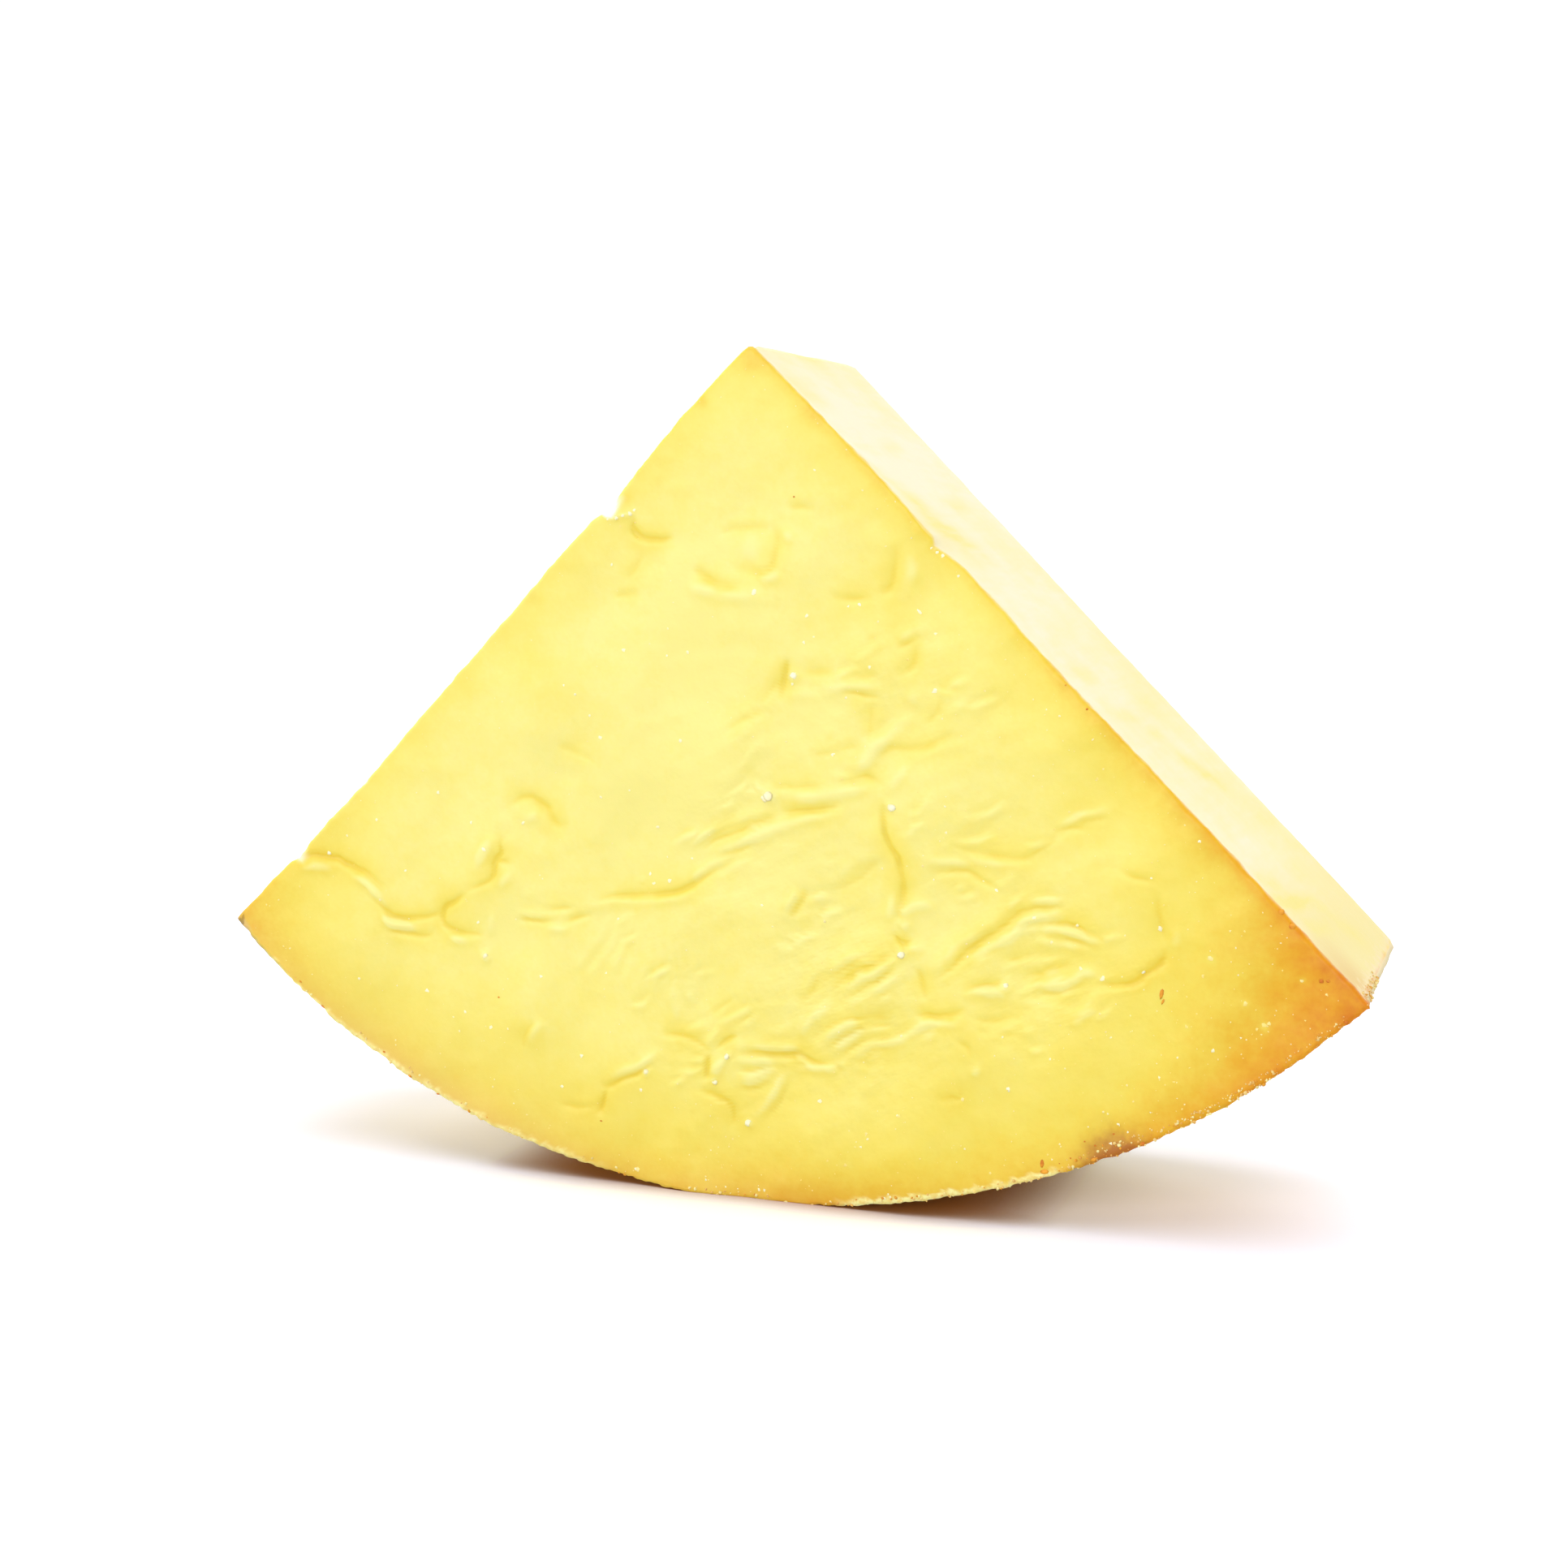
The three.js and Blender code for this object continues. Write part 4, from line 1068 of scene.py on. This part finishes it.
# The same blotches from -0.5 to 0.5
def swing(tree, place, scale, low=0.3, high=0.7):
    return calc(tree, "SUBTRACT", blotches(tree, place, scale, low, high), 0.5)


# Total plus size times value
def addOn(tree, total, value, size):
    return calc(tree, "ADD", total, calc(tree, "MULTIPLY", value, size))


def easedFact(tree, name, limits):
    return ease(tree, fact(tree, name), *limits)


def skinHeight(tree, place, **sizes):
    node = addNode(tree, "ShaderNodeGroup", {"Vector": place, **sizes}, node_tree=groups["skinGrain"])
    return node.outputs["Height"]


def skinBump(tree, shader, height, strength, distance):
    bump = addNode(tree, "ShaderNodeBump", {"Height": height, "Strength": strength, "Distance": distance})
    feed(tree, shader.inputs["Normal"], bump.outputs["Normal"])


# Screen colours, from fresh rind at tone 0 to browned at 1, and the light that falls on rind and paste.
# Colours of four values are plain linear factors. Clouds are (noise scale, size) or (noise scale, low,
# high), and long ones are drawn out along the thickness. Eases are from, to and top, over a fact or over
# mm from the tip or the rind face. Subsurface is weight, radius and scale, and bump strength and distance.
cheeseFinish = {
    "wrinkles": {
        "turn": -27, "stretch": 2.8, "scale": 430.0, "levels": (0.35, 0.65), "tone": 0.09, "bump": 1.8},
    "rindClouds": [(110.0, 0.12), (380.0, 0.07), (1300.0, 0.05)],
    "pasteClouds": [(90.0, 0.5)],
    "longClouds": [(330.0, 0.4), (1000.0, 0.25)],
    "longSqueeze": 0.16,
    "dustAndRimLightCloud": (1300.0, 0.4, 0.6),
    "dustAndRimLightLeast": 0.5,
    "stainCloud": (700.0, 0.3, 0.7),
    "stainShares": (0.45, 0.7),
    "rimTanShadeShare": 0.55,
    "grooveShadeEase": (0.05, 0.5),
    "ridgeHighlightEase": (0.1, 0.5, 0.7),
    "dustAndRimLightEase": (0.05, 0.8),
    "stainEase": (0.1, 0.9, 0.9),
    "belowEase": (0.4, 1.6),
    "yellowFar": (10.0, 90.0, 0.55),
    "yellowDeep": (14.0, 34.0, 0.3),
    "yellowTip": (16.0, 0.0, 0.5),
    "endEase": (95.0, 114.0, 0.85),
    "tanFar": (106.0, 119.0),
    "tanDeep": (17.0, 5.0, 0.8),
    "rimEase": (117.0, 119.5),
    "rimCloud": (600.0, 2.0),
    "veinCloud": (420.0, 0.3, 0.7),
    "veinBase": 0.5,
    "veinMost": 0.85,
    "roughness": 0.42,
    "specular": 0.4,
    "subsurface": (0.3, (1.0, 0.75, 0.3), 0.001),
    "bump": (0.3, 0.0002),
    "rindLight": (1.11, 1.14, 1.29),
    "pasteLight": (1.16, 1.25, 1.38),
    "rindTones": [
        (0.0, (255, 247, 155)), (0.12, (255, 244, 140)), (0.25, (254, 240, 124)), (0.4, (252, 235, 108)),
        (0.5, (251, 229, 94)), (0.6, (249, 221, 82)), (0.7, (245, 208, 64)), (0.8, (243, 190, 38)),
        (0.9, (239, 168, 16)), (1.0, (228, 138, 0))],
    "rimShade": (0.92, 0.71, 0.76, 1),
    "grooveShadeTint": (0.98, 0.92, 0.58, 1),
    "ridgePaintedHighlight": (255, 252, 178),
    "rimTanAndShade": (238, 200, 128),
    "stain": (182, 104, 34),
    "rimDustAndRimLight": (255, 246, 172),
    "pasteTop": (255, 252, 220),
    "pasteLow": (255, 246, 172),
    "pasteEnd": (247, 235, 142),
    "pasteTan": (236, 196, 88),
    "pasteRim": (252, 238, 186),
    "pasteStreak": (249, 239, 104),
    # Bared paste at chips: near white, brighter than the paste, a painted highlight on the chipped facet
    "chip": (1.0, 0.98, 0.85, 1),
}


def cheeseMaterial(setup):
    material, tree, shader = newMaterial("cheese")
    place = addNode(tree, "ShaderNodeTexCoord").outputs["Object"]

    def painted(base, share, key, lit=(1, 1, 1)):
        return blendColor(tree, share, base, linear(setup[key], lit))

    # Rind, with fine wrinkles that rise to the right; their hollows are browned a little as painted shade
    fine, lit = setup["wrinkles"], setup["rindLight"]
    turn, stretch = (0, math.radians(fine["turn"]), 0), (fine["stretch"], 1.0, 1.0)
    turned = {"Vector": place, "Rotation": turn, "Scale": stretch}
    turned = addNode(tree, "ShaderNodeMapping", turned, vector_type="TEXTURE").outputs["Vector"]
    wrinkles = swing(tree, turned, fine["scale"], *fine["levels"])
    wrinkles = calc(tree, "MULTIPLY", wrinkles, fact(tree, "wrinkled"))
    tone = addOn(tree, fact(tree, "tone"), wrinkles, fine["tone"])
    for scale, size in setup["rindClouds"]:
        tone = addOn(tree, tone, swing(tree, place, scale), size)
    ramp = addNode(tree, "ShaderNodeValToRGB", {"Fac": tone})
    stops = ramp.color_ramp.elements
    while len(stops) < len(setup["rindTones"]):
        stops.new(0.5)
    for stop, (position, screen) in zip(stops, setup["rindTones"]):
        stop.position, stop.color = position, linear(screen, lit)
    rind = ramp.outputs["Color"]
    rind = blendColor(tree, fact(tree, "shade"), rind, setup["rimShade"], "MULTIPLY")
    # Left rim band: dusty rind colour, partly painted shade
    rind = painted(rind, calc(tree, "MULTIPLY", fact(tree, "rimTanAndShade"), setup["rimTanShadeShare"]), "rimTanAndShade", lit)
    # Grooves are painted darker and yellower the deeper they are: painted shade in the creases, partly the
    # rind's own darker colour there
    deep = easedFact(tree, "groove", setup["grooveShadeEase"])
    rind = blendColor(tree, deep, rind, setup["grooveShadeTint"], "MULTIPLY")
    # Painted highlight: ridge crests are painted paler, as if lit from above
    rind = painted(rind, easedFact(tree, "ridge", setup["ridgeHighlightEase"]), "ridgePaintedHighlight", lit)
    # Pale rim band: partly real dust, partly painted rim light, made bright to stand in for the light on
    # the rounded rim
    least = setup["dustAndRimLightLeast"]
    dustAndRimLight = calc(tree, "MULTIPLY", blotches(tree, place, *setup["dustAndRimLightCloud"]), 1 - least)
    dustAndRimLight = calc(tree, "ADD", dustAndRimLight, least)
    dustAndRimLight = calc(tree, "MULTIPLY", easedFact(tree, "rimDustAndRimLight", setup["dustAndRimLightEase"]), dustAndRimLight)
    rind = painted(rind, dustAndRimLight, "rimDustAndRimLight")
    patchy, plain = setup["stainShares"]
    burnt = calc(tree, "MULTIPLY", blotches(tree, place, *setup["stainCloud"]), patchy)
    burnt = calc(tree, "MULTIPLY", fact(tree, "stain"), calc(tree, "ADD", burnt, plain))
    rind = painted(rind, ease(tree, burnt, *setup["stainEase"]), "stain", lit)

    # Paste: yellower away from the tip and the rind face, in clouds and fine streaks along the thickness
    fromTip, depthIn = fact(tree, "fromTip"), fact(tree, "depthIn")
    lit = setup["pasteLight"]
    squeezed = (1.0, setup["longSqueeze"], 1.0)
    long = addNode(tree, "ShaderNodeMapping", {"Vector": place, "Scale": squeezed}).outputs["Vector"]
    yellow = ease(tree, fromTip, *setup["yellowFar"])
    yellow = calc(tree, "ADD", yellow, ease(tree, depthIn, *setup["yellowDeep"]))
    yellow = calc(tree, "ADD", yellow, ease(tree, fromTip, *setup["yellowTip"]))
    for where, clouds in ((place, setup["pasteClouds"]), (long, setup["longClouds"])):
        for scale, size in clouds:
            yellow = addOn(tree, yellow, swing(tree, where, scale), size)
    paste = blendColor(tree, yellow, linear(setup["pasteTop"], lit), linear(setup["pasteLow"], lit))
    paste = painted(paste, ease(tree, fromTip, *setup["endEase"]), "pasteEnd", lit)
    tan = ease(tree, fromTip, *setup["tanFar"])
    tan = calc(tree, "MULTIPLY", tan, ease(tree, depthIn, *setup["tanDeep"]))
    paste = painted(paste, tan, "pasteTan", lit)
    scale, size = setup["rimCloud"]
    ragged = addOn(tree, fromTip, swing(tree, place, scale), size)
    paste = painted(paste, ease(tree, ragged, *setup["rimEase"]), "pasteRim", lit)
    vein = calc(tree, "ADD", blotches(tree, long, *setup["veinCloud"]), setup["veinBase"])
    vein = calc(tree, "MINIMUM", calc(tree, "MULTIPLY", fact(tree, "vein"), vein), setup["veinMost"])
    paste = painted(paste, vein, "pasteStreak", lit)

    skin = blendColor(tree, easedFact(tree, "rindDepth", setup["belowEase"]), rind, paste)
    # Chips are painted near white, brighter than the paste, as if their facet were lit
    feed(tree, shader.inputs["Base Color"], blendColor(tree, fact(tree, "chip"), skin, setup["chip"]))
    weight, radius, scale = setup["subsurface"]
    shader.inputs["Roughness"].default_value = setup["roughness"]
    shader.inputs["Specular IOR Level"].default_value = setup["specular"]
    shader.inputs["Subsurface Weight"].default_value = weight
    shader.inputs["Subsurface Radius"].default_value = radius
    shader.inputs["Subsurface Scale"].default_value = scale
    folds = calc(tree, "MULTIPLY", wrinkles, fine["bump"])
    skinBump(tree, shader, calc(tree, "SUBTRACT", skinHeight(tree, place), folds), *setup["bump"])
    return material


places, quads, triangles = blockSurface(wedgeMesh)
points, facts = wedgePoints(*places.T)
wedge = newPiece("cheeseWedge", points, [quads, triangles], cheeseMaterial(cheeseFinish))
addFacts(wedge, facts)
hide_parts("cheese_wedge")


# White crystals: listed ones as (x, d, radius), of which some are yellowed, and finer ones strewn on the
# front and then on the back. Each try is kept with a chance of least + times tone, so they are thicker
# where the rind is browner. Sizes in mm, and sink is in half thicknesses, on the front and the back.
crystalSetup = {
    "seed": 5,
    "strewn": (760, 340),
    "triesEach": 12,
    "outTo": 118,
    "inCuts": 0.98,
    "chance": (0.05, 0.5),
    "strewnRadius": (0.09, 0.26),
    "strewnDark": (0.2, 1.0),
    "stretch": (0.75, 1.25),
    "listedScale": 1.15,
    "flatness": 0.4,
    "sink": (0.7, 0.1),
    "listed": [
        (-20.9, 30.2, .3), (8.4, 36.9, .5), (14.3, 35.6, .35), (15.9, 35.3, .35), (24.4, 36.2, .45),
        (26.7, 39.1, .4), (17.5, 43.7, .42), (26.7, 46.6, .42), (8, 40.6, .3), (12.3, 55.8, .42),
        (20.8, 62.7, .5), (-15.2, 74, .42), (-12, 74.7, .4), (-14.6, 75.3, .35), (-12.5, 71.3, .3),
        (-8.6, 71.3, .28), (-14, 67.1, .3), (33.7, 72.2, .3), (35.6, 73.4, .4), (46.7, 77.2, .3),
        (57.6, 76.9, .42), (50.2, 84.2, .45), (47.3, 83.2, .35), (55.6, 82.8, .3), (64.9, 92.5, .42),
        (37.6, 100.3, .4), (10.6, 104.6, .38), (-5.2, 103.2, .4), (-0.2, 108.7, .4), (-16.6, 105.3, .35),
        (-29.3, 106.1, .42), (-26, 101.1, .45), (-42.6, 82.6, .35), (-59.3, 68.3, .35), (-64.5, 70.9, .3),
        (-67.7, 73.6, .35), (-43.5, 67.9, .35), (-35, 67.5, .4), (-54.7, 75.6, .28), (-51.3, 93.5, .5),
        (-40.5, 98.2, .5), (29.5, 31.5, .3), (-19, 42.2, .35), (-9.3, 42.3, .35), (-22.5, 54.7, .4),
        (-10.3, 54.7, .4), (9.6, 17.2, .3), (52.7, 103.7, .35), (51.8, 106.4, .4), (54, 104.7, .22),
        (57, 101.6, .28), (-17.6, 117.2, .35), (1.5, 118.3, .3), (2.3, 118.2, .28), (0.2, 118.6, .2),
        (-1.8, 118.4, .2), (-3.6, 118.3, .18), (-5, 118.4, .18), (20.2, 117.3, .38), (21, 117, .32),
        (20.7, 116.7, .25), (17.4, 108.3, .28), (17.7, 109.2, .22), (16.7, 110.4, .25), (3, 61.9, .55),
        (2.3, 62.3, .35), (22.4, 82.9, .45), (6.6, 45.1, .45), (6.4, 46.2, .3), (-3.3, 99.3, .35),
        (-15.7, 102.6, .4), (37, 86.2, .4), (40.8, 76.7, .35), (-41.4, 87.5, .35), (-41.2, 71.7, .35),
        (0.9, 33.8, .4), (68.5, 90.7, .25), (56.5, 70.2, .25), (-28.1, 47.4, .25), (-26.4, 48.6, .25),
        (-24.2, 51.5, .3), (-12.5, 42.8, .25), (9.4, 39.8, .2), (62.3, 65.4, .25), (28.3, 62.2, .2),
        (28.4, 65.7, .3), (-62.8, 92.4, .3), (-45, 96.2, .3), (22, 105.4, .25), (-22, 88.7, .3),
        (-20.2, 80.8, .3), (2, 77.3, .25), (-18.2, 62, .25), (-22.6, 63.2, .25), (-21.6, 23.4, .25),
        (-20.4, 23.2, .3), (-19.2, 23.1, .28), (-18, 23, .34), (-17.4, 22.6, .3), (26.2, 27.3, .3),
        (27, 27.9, .34), (27.7, 28.5, .3), (36.7, 93.2, .22), (43.4, 95.6, .22), (58.1, 96.9, .25),
        (-49, 63.7, .3), (-32.2, 89.9, .3)],
    "yellowed": [
        (71.3, 88.9, .6), (72, 88.6, .4), (70.6, 89.4, .35), (70, 90, .4), (68.9, 86.1, .42),
        (64.4, 80.4, .42), (76, 82.6, .45), (61.5, 89.8, .38), (14.5, 113.1, .45), (17.5, 108.5, .3),
        (35.2, 112.3, .35), (34.2, 114.2, .4), (32.8, 114.8, .35), (79.2, 84.3, .3), (63.5, 82.8, .3),
        (22.3, 105.5, .35), (31.2, 102.4, .35), (-17.2, 117.3, .4), (-18, 117.5, .3)],
    "yellowedDark": 0.75,
    "finish": {
        "light": (255, 254, 228), "dark": (255, 230, 132), "cloud": 0.3, "lit": (1.02, 1.03, 1.1),
        "roughness": 0.5},
}


# Rough is the least and most that a point is moved out, as a factor, and spin is in radians
pebbles = {"sides": 6, "rings": 3, "rough": (0.8, 1.15), "spin": (0, 6.28)}


# Unit pebble: a sphere of a few sides and rings, closed by a point at each end
def pebbleShape(sides, rings):
    u = np.arange(sides) / sides * 2 * math.pi
    v = (np.arange(rings) + 1) / (rings + 1) * math.pi
    v, u = (a.ravel() for a in np.meshgrid(v, u, indexing="ij"))
    points = np.stack([np.sin(v) * np.cos(u), np.sin(v) * np.sin(u), np.cos(v)], -1)
    points = np.vstack([points, [(0, 0, 1), (0, 0, -1)]])
    around = np.arange(sides)
    after = (around + 1) % sides
    quads = np.vstack([np.stack([
        r * sides + around, r * sides + after, (r + 1) * sides + after, (r + 1) * sides + around], -1)
        for r in range(rings - 1)])
    top, end = sides * rings, (rings - 1) * sides
    caps = np.vstack([
        np.stack([np.full(sides, top), after, around], -1),
        np.stack([np.full(sides, top + 1), end + around, end + after], -1)])
    return points, quads, caps


# Points of the wedge's own surface at places (x, d) of its front face, or of its back if through is 1
def onRind(x, d, through=0.0):
    ring = np.clip(np.hypot(x, d) / (wedgeForm["radius"] - wedgeForm["wallSwell"]), 0, 1)
    right, left = blockPlace(ring, np.clip(np.arctan2(x, d) / halfCut, -1, 1))
    return wedgePoints(right, left, through + np.zeros_like(ring))[0]


# Copies of the pebble at given places: sizes are half lengths along, out of and across the face
# in mm, and each is turned by its spin and roughened point by point
def strewPebbles(centres, sizes, spins, rng):
    shape, quads, caps = pebbleShape(pebbles["sides"], pebbles["rings"])
    count, total = len(centres), len(shape)
    body = shape[None] * rng.uniform(*pebbles["rough"], (count, total, 1)) * sizes[:, None]
    c, s = np.cos(spins)[:, None], np.sin(spins)[:, None]
    along, out, across = np.moveaxis(body, -1, 0)
    body = np.stack([c * along - s * across, out, s * along + c * across], -1)
    points = centres[:, None] + body * mm
    steps = np.arange(count)[:, None, None] * total
    faceSets = [(faces[None] + steps).reshape(-1, faces.shape[1]) for faces in (quads, caps)]
    return points.reshape(-1, 3), faceSets


bitGrain = {
    "cloud": (700.0, 0.4, 0.6),
    "sizes": {"Pores": 3000.0, "Ripples": 1500.0},
    "bump": (0.3, 0.0001),
}


# Bits are of two tints, mixed by a soft cloud about as big as they are, times its share, plus how dark
# each one is. Lit is the light on them.
def bitMaterial(name, setup):
    material, tree, shader = newMaterial(name)
    place = addNode(tree, "ShaderNodeTexCoord").outputs["Object"]
    share = calc(tree, "MULTIPLY", blotches(tree, place, *bitGrain["cloud"]), setup["cloud"])
    share = calc(tree, "ADD", share, fact(tree, "dark"))
    light, dark = (linear(setup[key], setup["lit"]) for key in ("light", "dark"))
    feed(tree, shader.inputs["Base Color"], blendColor(tree, share, light, dark))
    shader.inputs["Roughness"].default_value = setup["roughness"]
    skinBump(tree, shader, skinHeight(tree, place, **bitGrain["sizes"]), *bitGrain["bump"])
    return material


def someSpins(rng, count):
    return rng.uniform(*pebbles["spin"], count)


# Sizes from low to high, more of them small: low + (high - low) chance^power
def someSizes(rng, low, high, power, count):
    return low + (high - low) * rng.uniform(0, 1, count) ** power


def stretched(rng, size, limits):
    return size[:, None] * rng.uniform(*limits, (len(size), 3))


def makeCrystals(setup):
    rng = np.random.default_rng(setup["seed"])
    strewn, behind = setup["strewn"]
    tries = (strewn + behind) * setup["triesEach"]
    radius = setup["outTo"] * np.sqrt(rng.uniform(0, 1, tries))
    turn = rng.uniform(-setup["inCuts"], setup["inCuts"], tries) * halfCut
    x, d = radius * np.sin(turn), radius * np.cos(turn)
    rightGap, leftGap = d * sinCut - x * cosCut, d * sinCut + x * cosCut
    tone = rindTone(x, d, radius, wedgeForm["radius"] - radius, rightGap, leftGap)
    least, times = setup["chance"]
    kept = np.flatnonzero(rng.uniform(0, 1, tries) < least + times * tone)[:strewn + behind]
    size = someSizes(rng, *setup["strewnRadius"], 2, len(kept))
    listed = np.array(setup["listed"] + setup["yellowed"])
    x, d = np.concatenate([listed[:, 0], x[kept]]), np.concatenate([listed[:, 1], d[kept]])
    size = np.concatenate([listed[:, 2] * setup["listedScale"], size])
    through = (np.arange(len(x)) >= len(x) - behind).astype(float)
    centres = onRind(x, d, through)
    sizes = stretched(rng, size, setup["stretch"]) * [1, setup["flatness"], 1]
    frontSink, backSink = setup["sink"]
    centres[:, 1] += np.where(through > 0, -backSink, frontSink) * sizes[:, 1] * mm
    points, faceSets = strewPebbles(centres, sizes, someSpins(rng, len(size)), rng)
    piece = newPiece("crystals", points, faceSets, bitMaterial("crystals", setup["finish"]))
    dark = np.where(np.arange(len(size)) < len(listed), 0.0, rng.uniform(*setup["strewnDark"], len(size)))
    dark[len(setup["listed"]):len(listed)] = setup["yellowedDark"]
    addFacts(piece, {"dark": np.repeat(dark, len(points) // len(size))})


# Crumbs of the rim: heaps as (from, to, how many, how far in from the rim in mm), by share of the way
# from the middle to a cut. Those less than deepWithin mm in lie up to deep mm into the wedge. More are
# strewn along the right corner, and those further than cutFrom mm into the wedge sit on the cut.
rimCrumbSetup = {
    "seed": 8,
    "radius": (0.08, 0.28),
    "radiusPower": 2.5,
    "stretch": (0.6, 1.2),
    "dark": (-0.3, 0.9),
    "deepWithin": 0.5,
    "deepPower": 1.5,
    "deep": 1.2,
    "heaps": [
        (-0.95, -0.2, 100, 1.2), (-0.1, 0.06, 60, 1.2), (0.1, 0.5, 190, 0.8), (0.5, 0.66, 110, 1.4),
        (0.66, 0.97, 330, 0.9), (0.68, 0.84, 90, 0.7)],
    "corner": {"count": 90, "across": (0.994, 1.0), "inward": 1.5, "depth": (0, 18)},
    "cutFrom": 2,
    "finish": {
        "light": (255, 248, 184), "dark": (226, 160, 40), "cloud": 0.4, "lit": (1.02, 1.04, 1.15),
        "roughness": 0.55},
}


def makeRimCrumbs(setup):
    rng = np.random.default_rng(setup["seed"])
    across = np.concatenate([rng.uniform(low, high, count) for low, high, count, reach in setup["heaps"]])
    inward = [someSizes(rng, 0, reach, 2, count) for low, high, count, reach in setup["heaps"]]
    inward = np.concatenate(inward)
    depth = someSizes(rng, 0, setup["deep"], setup["deepPower"], len(across))
    depth = depth * (inward < setup["deepWithin"])
    corner = setup["corner"]
    count = corner["count"]
    across = np.concatenate([across, rng.uniform(*corner["across"], count)])
    inward = np.concatenate([inward, someSizes(rng, 0, corner["inward"], 2, count)])
    depth = np.concatenate([depth, rng.uniform(*corner["depth"], count)])
    across = np.where(depth > setup["cutFrom"], 1.0, across)
    right, left = blockPlace(1 - inward / wedgeForm["radius"], across)
    centres = wedgePoints(right, left, depth / wedgeForm["thickness"])[0]
    size = someSizes(rng, *setup["radius"], setup["radiusPower"], len(across))
    sizes = stretched(rng, size, setup["stretch"])
    points, faceSets = strewPebbles(centres, sizes, someSpins(rng, len(size)), rng)
    points[:, 2] = np.maximum(points[:, 2], 0)
    piece = newPiece("rimCrumbs", points, faceSets, bitMaterial("rimCrumbs", setup["finish"]))
    dark = rng.uniform(*setup["dark"], len(size))
    addFacts(piece, {"dark": np.repeat(dark, len(points) // len(size))})


# Browned flecks: listed ones as (x, d, half length, half width, turn in degrees), and specks strewn by
# chance along the burnt part of the rim
fleckSetup = {
    "seed": 3,
    "specks": 16,
    "speckRadius": (0.07, 0.22),
    "burntPart": (0.48, 0.63),
    "inward": 3,
    "inwardPower": 1.8,
    "stretch": (0.6, 1.2),
    "flatness": 0.35,
    "speckFlatness": 0.5,
    "finish": {
        "light": (240, 172, 44), "dark": (212, 120, 14), "cloud": 1.0, "lit": (1.02, 1.1, 1.3),
        "roughness": 0.6},
    "listed": [
        (58.1, 85.6, 0.75, 0.28, 80), (58.3, 86.6, 0.5, 0.16, 70), (42.4, 110.2, 0.6, 0.3, 95),
        (42.7, 111.1, 0.7, 0.35, 10), (72.9, 74.1, 0.45, 0.35, 20), (74.4, 75.8, 0.5, 0.4, 40),
        (78.4, 82.6, 0.35, 0.28, 0), (79.2, 82.6, 0.3, 0.2, 30), (55.8, 105.7, 0.45, 0.25, 20),
        (-39.2, 93.5, 0.22, 0.16, 0), (6.6, 20.8, 0.16, 0.12, 0), (49.4, 108.7, 0.5, 0.25, 25),
        (-69.3, 97.3, 0.4, 0.16, -35), (-59, 103.4, 0.3, 0.15, -20), (-54.5, 106.6, 0.35, 0.18, -30),
        (-49.8, 108.9, 0.3, 0.14, 0), (-73, 93.6, 0.3, 0.15, -40), (-23, 110.6, 0.2, 0.12, 0),
        (0.9, 118.9, 0.25, 0.12, 0), (-0.7, 119, 0.2, 0.1, 30), (69.5, 97.6, 0.35, 0.2, 40),
        (81.5, 87.4, 0.3, 0.2, 0), (47.4, 48.6, 0.2, 0.14, 45), (44.5, 45.5, 0.15, 0.1, 45)],
}


def makeFlecks(setup):
    rng = np.random.default_rng(setup["seed"])
    listed = np.array(setup["listed"])
    across = rng.uniform(*setup["burntPart"], setup["specks"])
    inward = someSizes(rng, 0, setup["inward"], setup["inwardPower"], len(across))
    right, left = blockPlace(1 - inward / wedgeForm["radius"], across)
    specks = wedgePoints(right, left, np.zeros_like(right))[0]
    centres = np.vstack([onRind(listed[:, 0], listed[:, 1]), specks])
    size = someSizes(rng, *setup["speckRadius"], 2, len(across))
    sizes = np.vstack([
        np.stack([listed[:, 2], setup["flatness"] * listed[:, 3], listed[:, 3]], -1),
        stretched(rng, size, setup["stretch"]) * [1, setup["speckFlatness"], 1]])
    spins = np.concatenate([np.radians(listed[:, 4]), someSpins(rng, len(size))])
    points, faceSets = strewPebbles(centres, sizes, spins, rng)
    newPiece("brownFlecks", points, faceSets, bitMaterial("brownFlecks", setup["finish"]))


makeCrystals(crystalSetup)
makeRimCrumbs(rimCrumbSetup)
makeFlecks(fleckSetup)
